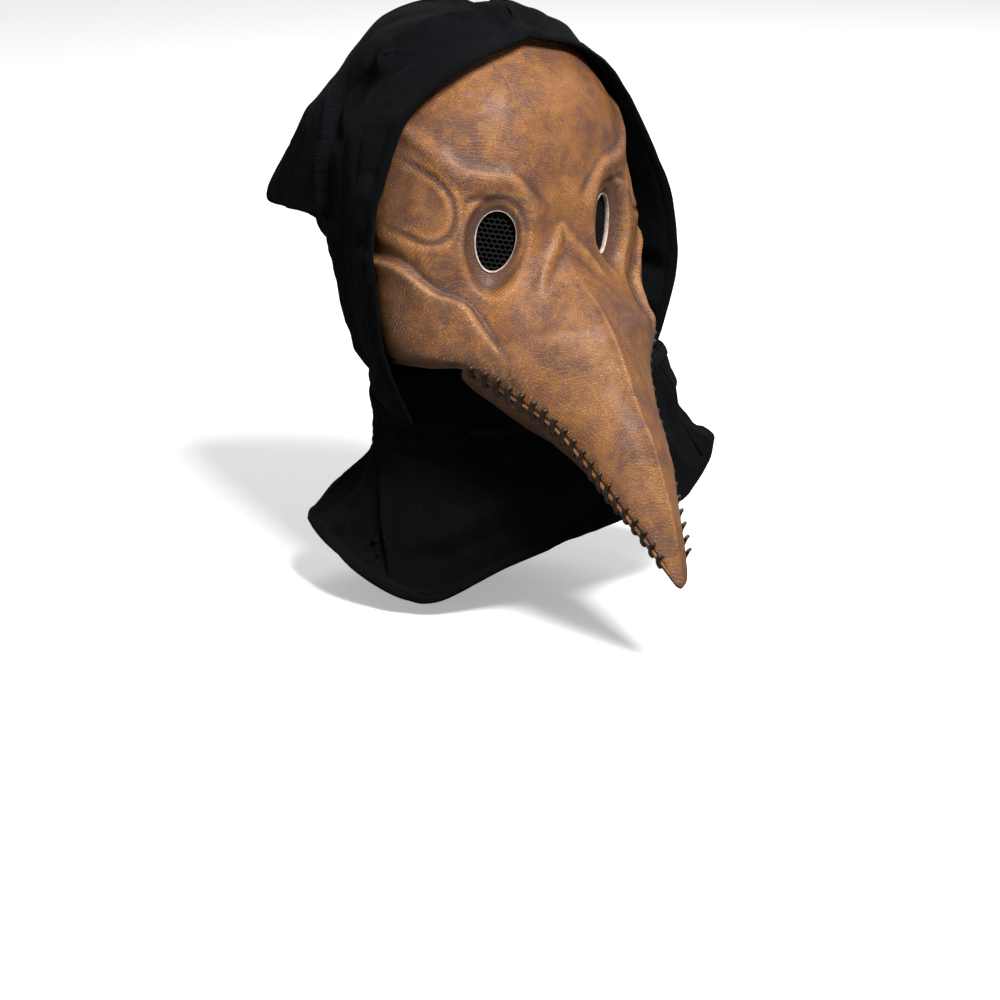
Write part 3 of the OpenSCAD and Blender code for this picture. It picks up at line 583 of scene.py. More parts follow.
def make_mask():
    """The moulded shell with its eye holes, and the grid of its outer face."""
    rows, cols = ((420, 281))
    T = np.linspace(0, 15, rows)
    S = np.linspace(-1, 1, cols)
    P = mask_base(T, S)
    C = spline(CORE_LINE, T)[:, None, :]
    N = grid_normals(P, C)
    f = sculpt(P.reshape(-1, 3), N.reshape(-1, 3)).reshape(rows, cols)
    f = soften(f, 2) * ease(T, 14.6, 12.5)[:, None]
    # sharpen the crest of the beak
    x = np.abs(P[..., 0])
    f += 1.9 * np.exp(-((x / 3.4) ** 1.5)) * ease(T, 3.6, 5.6)[:, None] * ease(T, 14.2, 12.5)[:, None]
    # rolled double lip along the free edge
    girth = np.sum(np.linalg.norm(np.diff(P, axis=1), axis=-1), axis=1)[:, None] / 2
    from_lip = (1 - np.abs(S)[None, :]) * girth
    f += (0.8 * bell(from_lip - 1.0, 1.6) - 0.9 * bell(from_lip - 3.6, 1.1)) * ease(T, 14.2, 12.5)[:, None]
    P2 = P + f[..., None] * N
    # rims of the eyes: blend the surface into a rolled lip round each hole
    V = P2.reshape(-1, 3)
    rim = np.zeros(len(V))
    for k in (-1, 1):
        ax, up, out = eye_axes(k)
        v = V - EYE_C * np.array((k, 1, 1))
        a, b, h = v @ ax, v @ up, v @ out
        ang = np.arctan2(b / (EYE_H / 2), a / (EYE_W / 2))
        rho = np.hypot(a / (EYE_W / 2 * (1 + EYE_EGG * np.sin(ang))), b / (EYE_H / 2))
        mm = (rho - 1) * 15.0  # about mm beyond the hole
        near = (rho < 1.9) & (np.abs(h) < 30)
        lip = 0.5 * bell(mm - 4.8, 1.1) - 2.7 * ease(mm, 4.4, -0.8) - 0.4 * bell(mm - 8.0, 2.0)
        tilt = 0.6 * np.sin(ang)
        near_hole = ease(mm, 10.0, 4.0)
        height = h * (1 - near_hole) + (lip + tilt) * near_hole
        V[near] += ((height - h)[:, None] * out)[near]
        rim[near] += (-0.34 * bell(mm - 1.6, 1.9))[near]
    P2 = V.reshape(rows, cols, 3)
    # cavity: how far a point stands out of its blurred surroundings
    N2 = grid_normals(P2, C)
    cav = np.zeros((rows, cols))
    for r, g in ((3, 1.0), (7, 0.5)):
        B = np.stack([soften(P2[..., i], r) for i in range(3)], -1)
        B0 = np.stack([soften(P[..., i], r) for i in range(3)], -1)
        cav += g * (np.sum((P2 - B) * N2, -1) - np.sum((P - B0) * N, -1))
    cav += rim.reshape(rows, cols)
    # painted shade: darker towards the sides of the face, fading out along the beak
    side = ease(np.abs(S), 0.58, 0.95)[None, :] * ease(T, 8.6, 5.5)[:, None]
    ob = wall("mask_shell_skin", P2, inner_face(P2, C, (SHELL_T - BEAK_THIN * ease(T, 6, 9))[:, None, None]))
    # eye holes
    for k in (-1, 1):
        ax, up, out = eye_axes(k)
        c = EYE_C * np.array((k, 1, 1))
        ang = np.linspace(0, 2 * math.pi, 72, endpoint=False)
        ex, ey = egg(ang)
        ring = c + ex[:, None] * ax + ey[:, None] * up
        ends = np.concatenate([ring + 26 * out, ring - 26 * out])
        cut = recalc(add_mesh("cut", ends, ring_faces(2, len(ang)), False))
        mod = ob.modifiers.new("hole", "BOOLEAN")
        mod.operation = "DIFFERENCE"
        mod.solver = "MANIFOLD"
        mod.object = cut
        bpy.context.view_layer.objects.active = ob
        bpy.ops.object.modifier_apply(modifier=mod.name)
        bpy.data.objects.remove(cut, do_unlink=True)
    # attributes by nearest grid point
    kd = KDTree(rows * cols)
    for i, p in enumerate(P2.reshape(-1, 3)):
        kd.insert(p, i)
    kd.balance()
    near = [kd.find(v.co / MM) for v in ob.data.vertices]
    set_attr(ob, "cav", [cav.flat[i] if dist < 1.3 else -0.3 for _, i, dist in near])
    set_attr(ob, "side", [side.flat[i] for _, i, _ in near])
    ob.data.polygons.foreach_set("use_smooth", [True] * len(ob.data.polygons))
    return ob, P2


shell, SHELL_P = make_mask()
finish_piece(shell, "mask", "mask_leather", LEATHER, "mask_shell")


def low_base(T, Q):
    """Smooth lower beak at the mask sections T and the places Q across."""
    R = spline(FACE_ROWS, T)[:, 3]
    L = spline(LOWER_ROWS, T - 7)
    q = np.abs(Q)[None, :, None]
    P = bezier(L[:, 2][:, None], L[:, 1][:, None], L[:, 0][:, None], R[:, None], q)
    P[..., 0] *= np.where(Q < 0, -1, 1)[None]
    return P


def make_lower():
    """The lower half of the beak."""
    rows, cols = 220, 121
    T = np.linspace(7, 15, rows)
    Q = np.linspace(-0.985, 0.985, cols)
    P = low_base(T, Q)
    C = spline(CORE_LINE, T)[:, None, :]
    N = grid_normals(P, C)
    V = P.reshape(-1, 3)
    f = (0.5 * mottle(V, 22, 13) + 0.25 * mottle(V, 9, 15)).reshape(rows, cols) * ease(T, 14.6, 12.5)[:, None]
    f += 0.8 * bell(np.abs(P[..., 0]), 3.0) * ease(T, 14.4, 12.5)[:, None]
    from_edge = (1 - np.abs(Q)) * 40
    f -= 0.9 * bell(from_edge, 3.0)[None, :] * ease(T, 14.4, 12.5)[:, None]
    P2 = P + f[..., None] * N
    ob = wall("lower_beak_skin", P2, inner_face(P2, C, LOWER_T))
    # painted shade: the whole lower beak darker, most of all along its seam with the upper beak
    set_attr(ob, "cav", np.tile(-0.12 - 0.5 * bell(from_edge, 4.0), 2 * rows))
    set_attr(ob, "side", np.full(2 * rows * cols, 0.75))
    return ob


finish_piece(make_lower(), "mask", "mask_leather", LEATHER, "lower_beak")


# ---------------------------------------------------------------- lacing
LACE_STITCHES, LACE_FROM, LACE_TO = 20, 7.05, 12.85  # and the mask sections of the first and last
LACE_R, LACE_INNER_R = 1.75, 0.9  # outside, and where it runs inside the beak
HOLE_UP, HOLE_DOWN, LACE_LIFT = 9.2, 3.0, 1.5  # how far the holes are from the edge, and the cord off it


def seam(t):
    """Edge of the upper beak at section t: point, ways up and down from it, way out, and the room inside."""
    R = spline(FACE_ROWS, np.array([t]))[0]
    e = R[3]
    L = spline(LOWER_ROWS, np.array([t - 7]))[0]
    up = unit(bezier(*R, 0.90) - e)
    down = unit(bezier(L[2], L[1], L[0], e, 0.90) - e)
    out = e - spline(CORE_LINE, np.array([t]))[0]
    return e, up, down, unit(out), np.linalg.norm(out)


def lace_stations():
    """Mask sections of the stitches, evenly spaced along the seam."""
    T = np.linspace(LACE_FROM, LACE_TO, 300)
    arc = arc_lengths(spline(FACE_ROWS, T)[:, 3])
    return np.interp(np.linspace(0, arc[-1], LACE_STITCHES), arc, T)


def square_to(a, b):
    """Unit vector along a, made square to the unit vector b."""
    return unit(a - np.dot(a, b) * b)


def make_lace(k):
    """The cord of one side: stitches across the seam, joined inside the beak."""
    rng = np.random.RandomState(11 if k < 0 else 12)
    T = lace_stations()
    paths, radii = [], []
    for i, t in enumerate(T):
        small = 1 - 0.36 * (i / LACE_STITCHES) ** 1.6
        e0, u0, _, o0, _ = seam(t - 0.02)
        e1, u1, d1, o1, r1 = seam(t + 0.20)
        hu = (HOLE_UP + rng.uniform(-0.8, 0.8)) * small
        hd = (HOLE_DOWN + rng.uniform(-0.4, 0.4)) * small
        n0, n1 = square_to(o0, u0), square_to(o1, d1)
        lift = LACE_LIFT * small
        inside = e1 + (hd + 0.3) * d1 - min(3.2, 0.45 * r1) * n1
        runs = [(LACE_R * small, 6, 1.0, [
            e0 + hu * u0 - 2.0 * n0,
            e0 + (hu + 0.8) * u0 + 0.3 * lift * n0,
            e0 * 0.85 + e1 * 0.15 + 0.82 * hu * u0 + lift * n0,
            e0 * 0.5 + e1 * 0.5 + 0.42 * hu * u0 + lift * n0,
            e0 * 0.15 + e1 * 0.85 + 0.08 * hu * u1 + 0.6 * lift * (n0 + n1),
            e1 + 0.6 * hd * d1 + lift * n1,
            e1 + (hd + 0.6) * d1 + 0.2 * lift * n1,
            inside,
        ])]
        if i < LACE_STITCHES - 1:  # run inside to the next hole
            e2, u2, _, o2, r2 = seam(T[i + 1] - 0.02)
            hole = e2 + 8.6 * small * u2 - min(3.2, 0.45 * r2) * o2
            middle = (inside + hole) / 2 - min(1.2, 0.1 * r2) * o2
            runs.append((LACE_INNER_R * small, 5, 0.0, [inside, middle, hole]))
        for radius, steps, swell, pts in runs:
            P = smooth_line(pts, steps)
            P[:, 0] *= k
            s = np.linspace(0, 1, len(P))
            paths.append(P)
            radii.append(radius * (1 + swell * (0.05 * np.sin(17 * s + i) - 0.10 * np.cos(2 * math.pi * s))))
    return tube("lace_" + SIDE_NAME[k] + "_cord", paths, radii, 14)


for k, nm in SIDES:
    finish_piece(make_lace(k), "mask", "lace_cord", LACE, "lace_" + nm)


# ---------------------------------------------------------------- eyes
NET_W, NET_H, NET_PITCH, NET_BAR = 36.0, 51.0, 3.7, 0.95
NET_IN = 5.6  # how far the mesh is behind the face


def make_net(k):
    """Mesh of an eye: hexagonal cells, domed outwards."""
    ax, up, out = eye_axes(k)
    c = EYE_C * np.array((k, 1, 1)) - NET_IN * out
    wide, narrow = NET_PITCH / math.sqrt(3), (NET_PITCH - NET_BAR) / math.sqrt(3)
    bm = bmesh.new()
    for j in range(-9, 10):
        for i in range(-7, 8):
            x = NET_PITCH * (i + (abs(j) % 2) / 2)
            y = NET_PITCH * 0.866 * j
            if (x / (NET_W / 2 - 0.5)) ** 2 + (y / (NET_H / 2 - 0.5)) ** 2 > 1:
                continue
            rings = []
            for r, dz in ((wide, 0.0), (narrow, 0.25), (narrow, -0.55), (wide, -0.4)):
                rings.append([])
                for q in range(6):
                    a = math.pi / 6 + q * math.pi / 3
                    px, py = x + r * math.cos(a), y + r * math.sin(a)
                    dome = 0.35 * 2.4 * (1 - (px / 18) ** 2 - (py / 26) ** 2)
                    rings[-1].append(bm.verts.new((c + px * ax + py * up + (dz + dome) * out) * MM))
            for a, b in zip(rings, rings[1:] + rings[:1]):
                for q in range(6):
                    s = (q + 1) % 6
                    bm.faces.new((a[q], a[s], b[s], b[q]))
    bmesh.ops.remove_doubles(bm, verts=bm.verts, dist=0.00008)
    bmesh.ops.recalc_face_normals(bm, faces=bm.faces)
    me = bpy.data.meshes.new("net")
    bm.to_mesh(me)
    bm.free()
    ob = bpy.data.objects.new("eye_net_" + SIDE_NAME[k], me)
    bpy.context.scene.collection.objects.link(ob)
    return ob


def make_rim(k):
    """Pale cut edge of the hole; the paint stops short on its outer and lower side, so it is wider there."""
    ax, up, out = eye_axes(k)
    c = EYE_C * np.array((k, 1, 1))
    ang = np.linspace(0, 2 * math.pi, 120, endpoint=False)
    show = 0.35 + 0.75 * ease(np.cos(ang + 0.28 * math.pi), -0.2, 0.9)
    ex, ey = egg(ang)
    rings = []
    for s_in, dz in ((0.02, -1.9), (1.0, -2.0), (1.0, -2.6), (0.9, -4.6), (0.02, -4.9)):
        px, py = ex - np.cos(ang) * s_in * show, ey - np.sin(ang) * s_in * show
        rings.append(c + px[:, None] * ax + py[:, None] * up + (dz + 0.6 * np.sin(ang))[:, None] * out)
    faces = ring_faces(len(rings), len(ang), closed=True)
    return recalc(add_mesh("eye_rim_" + SIDE_NAME[k] + "_ring", np.concatenate(rings), faces))


for k, nm in SIDES:
    finish_piece(make_net(k), "mask", "eye_mesh", NET, "eye_mesh_" + nm)
    finish_piece(make_rim(k), "mask", "cut_edge", EDGE, "eye_rim_" + nm)


# ---------------------------------------------------------------- pads
def make_pad(name, t0, t1, s0, s1, thick):
    """Foam pad against the inside of the shell, between two sections and two places across."""
    n = 60
    T = np.linspace(t0, t1, n)
    P = mask_base(T, np.linspace(s0, s1, n))
    C = spline(CORE_LINE, T)[:, None, :]
    N = grid_normals(P, C)
    f = sculpt(P.reshape(-1, 3), N.reshape(-1, 3)).reshape(n, n)
    P = P + f[..., None] * N
    inwards = unit(C - P)
    u = np.abs(np.linspace(-1, 1, n))[:, None]
    v = u.T
    e = (1 - u**8) ** 0.5 * (1 - v**8) ** 0.5
    corner = np.clip(1 - (u**6 + v**6), 0, 1) ** 0.35
    crown = 0.75 + 0.25 * (1 - u**2) * (1 - v**2)
    depth = SHELL_T + 0.35 + thick * np.maximum(0.05, e * corner * crown)
    return wall(name, P + inwards * (SHELL_T + 0.2), P + inwards * depth[..., None])


for name, *place in (("forehead_pad", 0.7, 1.9, -0.5, 0.5, 7.6), ("cheek_pad_left", 3.7, 5.2, 0.70, 0.93, 6.6),
                     ("cheek_pad_right", 3.7, 5.2, -0.93, -0.70, 6.6)):
    ob = finish_piece(make_pad(name + "_foam", *place), "mask", "foam", FOAM, name)

# ---------------------------------------------------------------- CAD pieces kept, with finishes
for node, mat in (("rivet_right", BRASS), ("rivet_left", BRASS), ("rivet_cap_right", BRASS),
                  ("rivet_cap_left", BRASS), ("strap_tab_right", TAB), ("strap_tab_left", TAB),
                  ("strap_slider", PLASTIC)):
    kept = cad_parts[node]
    kept.data.materials.clear()
    kept.data.materials.append(mat)

# ---------------------------------------------------------------- cloth
# back seam of the hood, which both panels share, from the throat to the forehead
SEAM = [(-4, 46, -120), (-5, 58, -94), (-6, 76, -66), (-12, 98, -38), (-38, 116, -16), (-44, 178, -20),
        (-36, 137, 41), (-28, 102, 80), (-20, 62, 124), (-8, 2, 145), (0, -56, 140)]
# rows of each panel: front hem and two controls, before the seam
RIGHT_ROWS = [
    [(-82, -62, -122), (-82, -20, -124), (-56, 42, -122)], [(-92, -58, -97), (-91, -10, -98), (-62, 56, -96)],
    [(-100, -55, -70), (-100, -4, -70), (-68, 68, -68)], [(-105, -56, -35), (-106, 0, -34), (-70, 82, -36)],
    [(-105, -52, 7), (-106, 0, 4), (-74, 80, -10)], [(-99, -54, 36), (-107, 14, 34), (-88, 96, 8)],
    [(-88, -61, 76), (-104, 10, 72), (-86, 90, 64)], [(-75, -71, 99), (-94, -12, 100), (-78, 62, 98)],
    [(-50, -82, 118), (-72, -36, 129), (-62, 26, 138)], [(-19, -84, 128), (-40, -60, 140), (-30, -24, 149)],
    [(-0.3, -80, 132), (-0.3, -72, 136), (-0.3, -64, 139)],
]
LEFT_ROWS = [
    [(88, -86, -122), (94, -24, -122), (58, 44, -122)], [(101, -84, -100), (102, -16, -98), (66, 56, -96)],
    [(111, -84, -76), (110, -10, -70), (80, 70, -68)], [(118, -88, -36), (116, 4, -34), (88, 88, -36)],
    [(113, -89, 8), (114, 12, 6), (76, 96, -10)], [(101, -87, 40), (111, 10, 36), (80, 110, 10)],
    [(85, -82, 76), (109, 0, 72), (72, 96, 62)], [(67, -79, 103), (96, -20, 99), (62, 66, 98)],
    [(43, -78, 120), (68, -40, 122), (46, 26, 130)], [(19, -80, 127), (36, -62, 135), (22, -26, 144)],
    [(0.3, -80, 132), (0.3, -72, 136), (0.3, -64, 139)],
]
HOOD_RIGHT, HOOD_LEFT = (np.array([[*row, end] for row, end in zip(rows, SEAM)], float)
                         for rows in (RIGHT_ROWS, LEFT_ROWS))
# cowl rings from the neck to the hem, in the axes of the shoulders
COWL_RINGS = np.array([
    [(20, 46, -112), (-14, 44, -113), (-40, 32, -115), (-57, 10, -118), (-61, -14, -121), (-54, -38, -125),
     (-36, -58, -129), (-6, -70, -130), (26, -72, -130), (58, -62, -126), (88, -50, -118), (116, -34, -102),
     (136, -8, -90), (112, 22, -94), (62, 42, -106)],
    [(24, 54, -132), (-14, 50, -134), (-40, 36, -138), (-52, 10, -144), (-57, -16, -146), (-58, -44, -148),
     (-36, -68, -152), (-4, -80, -153), (32, -84, -152), (68, -80, -148), (102, -66, -138), (134, -42, -124),
     (148, -10, -114), (118, 26, -116), (68, 48, -126)],
    [(28, 66, -155), (-16, 60, -158), (-44, 40, -160), (-55, 8, -164), (-63, -18, -166), (-64, -48, -174),
     (-40, -74, -182), (-6, -88, -184), (32, -94, -178), (72, -92, -170), (110, -80, -158), (142, -50, -146),
     (149, -8, -132), (122, 34, -138), (74, 58, -146)],
    [(32, 80, -180), (-16, 72, -184), (-50, 48, -188), (-78, 8, -188), (-84, -20, -190), (-70, -54, -200),
     (-44, -78, -212), (-10, -90, -216), (30, -96, -202), (72, -94, -187), (112, -80, -174), (148, -48, -164),
     (160, -4, -146), (130, 42, -154), (80, 68, -166)],
    [(36, 90, -206), (-16, 80, -210), (-60, 52, -214), (-98, 12, -213), (-101, -20, -212), (-78, -60, -225),
     (-48, -82, -241), (-16, -90, -246), (27, -96, -222), (71, -94, -202), (115, -76, -189), (153, -44, -186),
     (173, 0, -158), (138, 50, -172), (88, 78, -190)],
], float)
COWL_TURN = math.radians(35)  # the shoulders are turned to the wearer's right of the face
CLOTH_T, COWL_T = 2.0, 3.0
GIVE, SLACK = 5.0, 0.02  # mm that the simulation may move a panel, and its spare cloth

# Folds: (kind, half width mm, height mm, points). A valley or ridge lies along its points;
# a step drops the cloth by its height on the far side of the line.
FOLDS_RIGHT = [
    ("step", 3.0, -9.0, [(7.4, 0.74), (6.8, 0.60), (6.2, 0.47), (5.7, 0.40), (5.2, 0.375),
     (4.7, 0.37), (4.2, 0.41), (3.9, 0.48)]),
    ("valley", 3.6, -4.4, [(8.34, 0.32), (7.69, 0.34), (7.09, 0.40), (6.63, 0.35), (5.83, 0.26),
     (5.08, 0.23), (3.82, 0.31)]),
    ("ridge", 4.5, 4.4, [(8.34, 0.24), (7.69, 0.27), (7.1, 0.32), (6.63, 0.27), (5.83, 0.20),
     (5.08, 0.18), (3.82, 0.25)]),
    ("valley", 3.2, -3.8, [(8.49, 0.15), (7.94, 0.19), (7.34, 0.23), (6.63, 0.19), (5.78, 0.15),
     (4.92, 0.14), (3.77, 0.19)]),
    ("ridge", 4.0, 3.4, [(6.6, 0.14), (5.9, 0.12), (5.2, 0.105), (4.6, 0.11), (3.82, 0.15)]),
    ("ridge", 6.0, 3.6, [(7.0, 0.49), (6.4, 0.42), (5.88, 0.34), (5.48, 0.30), (4.82, 0.28),
     (4.0, 0.34)]),
    ("valley", 4.0, -2.8, [(4.3, 0.0), (4.0, 0.03), (3.6, 0.055), (3.2, 0.06)]),
    ("ridge", 5.0, 2.0, [(4.1, 0.07), (3.3, 0.09), (2.4, 0.08), (1.4, 0.07)]),
    ("valley", 6.0, -3.0, [(9.7, 0.08), (9.3, 0.13), (8.9, 0.20), (8.5, 0.27)]),
    ("valley", 5.0, -2.4, [(9.4, 0.34), (8.9, 0.40), (8.4, 0.50), (7.8, 0.55)]),
    ("ridge", 6.0, 2.2, [(9.4, 0.22), (8.9, 0.30), (8.3, 0.38)]),
    ("valley", 7.0, -3.2, [(9.0, 0.70), (8.2, 0.70), (7.4, 0.66), (6.6, 0.62)]),
    ("ridge", 7.0, 2.6, [(6.4, 0.70), (5.9, 0.72), (5.4, 0.80), (5.1, 0.92)]),
    ("valley", 6.0, -3.6, [(5.8, 0.58), (5.3, 0.64), (5.0, 0.74), (4.85, 0.88)]),
    ("valley", 5.0, -3.0, [(6.6, 0.80), (6.1, 0.84), (5.6, 0.92)]),
    ("valley", 8.0, -4.0, [(4.4, 0.60), (3.4, 0.56), (2.2, 0.52), (1.0, 0.50)]),
    ("ridge", 8.0, 3.2, [(4.2, 0.50), (3.2, 0.46), (2.0, 0.42), (0.8, 0.38)]),
    ("valley", 7.0, -3.4, [(3.8, 0.40), (2.8, 0.34), (1.8, 0.30), (0.8, 0.26)]),
    ("ridge", 8.0, 3.0, [(4.1, 0.74), (3.0, 0.70), (1.8, 0.68), (0.6, 0.66)]),
    ("valley", 7.0, -3.4, [(4.0, 0.86), (3.0, 0.84), (1.9, 0.82), (0.8, 0.82)]),
]
FOLDS_LEFT = [
    ("step", 3.0, -8.0, [(7.4, 0.74), (6.8, 0.62), (6.2, 0.52), (5.6, 0.46), (5.0, 0.45),
     (4.5, 0.50), (4.1, 0.58)]),
    ("valley", 5.0, -3.4, [(8.4, 0.20), (7.4, 0.14), (6.4, 0.11), (5.2, 0.09), (4.2, 0.10)]),
    ("ridge", 6.0, 2.6, [(8.0, 0.34), (7.0, 0.26), (6.0, 0.20), (5.0, 0.18), (4.0, 0.20)]),
    ("valley", 7.0, -4.0, [(8.2, 0.50), (7.2, 0.40), (6.2, 0.32), (5.2, 0.28), (4.2, 0.30),
     (3.2, 0.34)]),
    ("valley", 5.0, -5.0, [(2.35, 0.0), (2.30, 0.10), (2.45, 0.22), (2.8, 0.36), (3.2, 0.50)]),
    ("ridge", 7.0, 4.0, [(2.9, 0.0), (2.85, 0.12), (3.05, 0.24), (3.4, 0.36)]),
    ("ridge", 7.0, 3.6, [(1.7, 0.0), (1.7, 0.12), (1.8, 0.26), (1.9, 0.40)]),
    ("valley", 6.0, -3.6, [(1.15, 0.0), (1.1, 0.14), (1.0, 0.30), (0.8, 0.46)]),
    ("valley", 6.0, -2.8, [(9.4, 0.14), (8.9, 0.26), (8.3, 0.36)]),
    ("valley", 6.0, -2.4, [(9.2, 0.46), (8.6, 0.56), (8.0, 0.62)]),
    ("ridge", 7.0, 2.6, [(6.4, 0.72), (5.9, 0.74), (5.4, 0.82), (5.1, 0.93)]),
    ("valley", 6.0, -3.4, [(5.7, 0.62), (5.2, 0.70), (4.95, 0.80), (4.85, 0.92)]),
    ("valley", 8.0, -4.0, [(4.2, 0.66), (3.2, 0.62), (2.0, 0.58), (0.9, 0.56)]),
    ("ridge", 8.0, 3.0, [(4.0, 0.78), (3.0, 0.74), (1.9, 0.70), (0.7, 0.70)]),
    ("valley", 7.0, -3.4, [(3.9, 0.88), (2.9, 0.86), (1.8, 0.84), (0.7, 0.84)]),
]
FOLDS_COWL = [
    ("ridge", 5.0, 6.0, [(0.55, 5.3), (0.75, 5.9), (0.72, 6.3), (0.60, 6.8), (0.42, 7.2), (0.22, 7.6)]),
    ("valley", 4.0, -7.0, [(0.9, 5.5), (1.02, 5.95), (0.98, 6.5), (0.9, 7.0), (0.82, 7.35)]),
    ("step", 2.6, -4.5, [(0.15, 7.30), (0.4, 7.36), (0.7, 7.38), (0.95, 7.30)]),
    ("step", 2.6, -4.0, [(4.0, 6.0), (3.3, 5.80), (2.6, 5.6), (2.1, 5.46), (1.5, 5.35), (1.1, 5.4)]),
    ("ridge", 8.0, 3.4, [(3.2, 5.9), (2.7, 6.8), (2.2, 7.65), (1.8, 8.3), (1.4, 8.9)]),
    ("valley", 6.5, -3.0, [(3.3, 6.5), (3.0, 7.3), (2.8, 8.1), (2.6, 9.1)]),
    ("ridge", 5.0, 3.2, [(1.2, 7.0), (1.0, 7.5), (0.85, 8.2), (0.75, 8.9)]),
    ("valley", 5.0, -3.0, [(1.5, 7.2), (1.35, 7.9), (1.2, 8.6), (1.0, 9.4)]),
    ("valley", 6.0, -3.0, [(2.2, 9.2), (2.6, 9.8), (3.2, 10.3), (3.8, 10.6)]),
    ("ridge", 6.0, 3.0, [(0.8, 10.6), (1.7, 10.9), (2.7, 11.1), (3.8, 11.2)]),
    ("valley", 6.0, -3.4, [(0.9, 11.3), (1.8, 11.9), (2.8, 12.1), (3.8, 12.2)]),
    ("valley", 6.0, -3.4, [(0.8, 4.6), (1.6, 4.4), (2.6, 4.2), (3.7, 4.1)]),
    ("ridge", 6.0, 3.0, [(0.9, 3.9), (1.8, 3.6), (2.8, 3.4), (3.8, 3.3)]),
    ("valley", 7.0, -3.4, [(0.8, 13.2), (1.8, 13.3), (2.8, 13.5), (3.8, 13.6)]),
    ("ridge", 7.0, 3.0, [(0.9, 14.2), (1.9, 14.4), (2.9, 14.6), (3.8, 14.7)]),
    ("valley", 7.0, -3.2, [(0.8, 15.6), (1.8, 15.5), (2.8, 15.7), (3.8, 15.8)]),
    ("ridge", 7.0, 3.0, [(0.9, 16.6), (1.9, 16.7), (2.9, 16.9), (3.8, 17.0)]),
    ("valley", 6.0, -3.2, [(0.9, 17.6), (1.9, 17.7), (2.8, 17.8), (3.7, 17.9)]),
]


def hood_at(rows):
    """The smooth surface through the rows of a hood panel."""
    def point(t, u):
        R = spline(rows, t)
        return bezier(*np.moveaxis(R, -2, 0), np.asarray(u)[..., None])
    return point


def cowl_at(v, a):
    """Point of the cowl at ring v and place a round it; v and a are arrays of one shape."""
    c, s = math.cos(COWL_TURN), math.sin(COWL_TURN)
    R = spline(COWL_RINGS, v)
    i = np.floor(a).astype(int)
    w = (a - i)[..., None]
    p = [np.take_along_axis(R, ((i + q) % 15)[..., None, None], -2)[..., 0, :] for q in (-1, 0, 1, 2)]
    P = 0.5 * (2 * p[1] + w * (p[2] - p[0]) + w**2 * (2 * p[0] - 5 * p[1] + 4 * p[2] - p[3])
               + w**3 * (3 * p[1] - p[0] - 3 * p[2] + p[3]))
    return np.stack([P[..., 0] * c + P[..., 1] * s, -P[..., 0] * s + P[..., 1] * c, P[..., 2]], -1)


def sheet_grid(point, r0, r1, c0, c1, n, m):
    """n by m points of the surface between two rows and two columns."""
    rows, cols = np.meshgrid(np.linspace(r0, r1, n), np.linspace(c0, c1, m), indexing="ij")
    return point(rows, cols)


def inner_axis(P, low, high):
    """Points inside the worn shape that the cloth's outside faces away from."""
    x, y, z = np.moveaxis(P, -1, 0)
    return np.stack([np.clip(x * 0.5, -30, 30), np.clip(y * 0.6, -20, 90), np.clip(z, low, high)], -1)


def fold_height(P, N, point, folds):
    """Height in mm that the folds give the cloth grid P with normals N."""
    Q, M = P.reshape(-1, 3), N.reshape(-1, 3)
    d = np.zeros(len(Q))
    for kind, width, height, pts in folds:
        line = point(*np.array(pts, float).T)
        dist, side, along = to_line(Q, M, line)
        ends = ease(along, 0.0, 0.22) * ease(along, 1.0, 0.78)
        if kind == "step":
            far = ease(side, -width * 0.5, width * 0.5) * np.exp(-((np.maximum(side, 0) / 62) ** 2))
            crest = 0.16 * bell(side + width, width * 1.4)
            d += (height * far - height * crest) * ends * (dist < 110)
        elif kind == "valley":
            d += height * np.exp(-((dist / width) ** 1.35)) * ends
        else:
            d += height * bell(dist, width * 1.15) * ends
    return d.reshape(P.shape[:2])


def refine(A, n, m):
    """Grid A resampled to n by m points."""
    B = spline(A, np.linspace(0, A.shape[0] - 1, n))
    return np.swapaxes(spline(np.swapaxes(B, 0, 1), np.linspace(0, A.shape[1] - 1, m)), 0, 1)


def settle(P, steps=22):
    """Cloth simulation of grid P held along its four edges; gives how far each point moves, in mm."""
    n, m = P.shape[:2]
    ob = add_mesh("settle", P.reshape(-1, 3), grid_faces(n, m))
    pin = ob.vertex_groups.new(name="pin")
    edge = [i * m + j for i in range(n) for j in range(m) if i in (0, n - 1) or j in (0, m - 1)]
    pin.add(edge, 1.0, "REPLACE")
    cloth = ob.modifiers.new("cloth", "CLOTH")
    for name, value in {"quality": 5, "mass": 0.12, "air_damping": 1.5, "tension_stiffness": 14,
                        "compression_stiffness": 10, "shear_stiffness": 4, "bending_stiffness": 0.35,
                        "vertex_group_mass": "pin", "shrink_min": -SLACK}.items():
        setattr(cloth.settings, name, value)
    cloth.settings.effector_weights.gravity = 0.45
    cloth.point_cache.frame_start = 1
    cloth.point_cache.frame_end = steps
    scene = bpy.context.scene
    for f in range(1, steps + 1):
        scene.frame_set(f)
    ev = ob.evaluated_get(bpy.context.evaluated_depsgraph_get())
    co = np.zeros(n * m * 3)
    ev.data.vertices.foreach_get("co", co)
    scene.frame_set(1)
    bpy.data.objects.remove(ob, do_unlink=True)
    D = co.reshape(n, m, 3) / MM - P
    L = np.linalg.norm(D, axis=-1, keepdims=True)
    return D / (1 + L / GIVE)


SKIN = KDTree(SHELL_P.shape[0] * SHELL_P.shape[1])
for i, p in enumerate(SHELL_P.reshape(-1, 3)):
    SKIN.insert(p, i)
SKIN.balance()
SKIN_CORE = spline(CORE_LINE, np.linspace(0, 15, SHELL_P.shape[0]))
SKIN_N = grid_normals(SHELL_P, SKIN_CORE[:, None, :]).reshape(-1, 3)


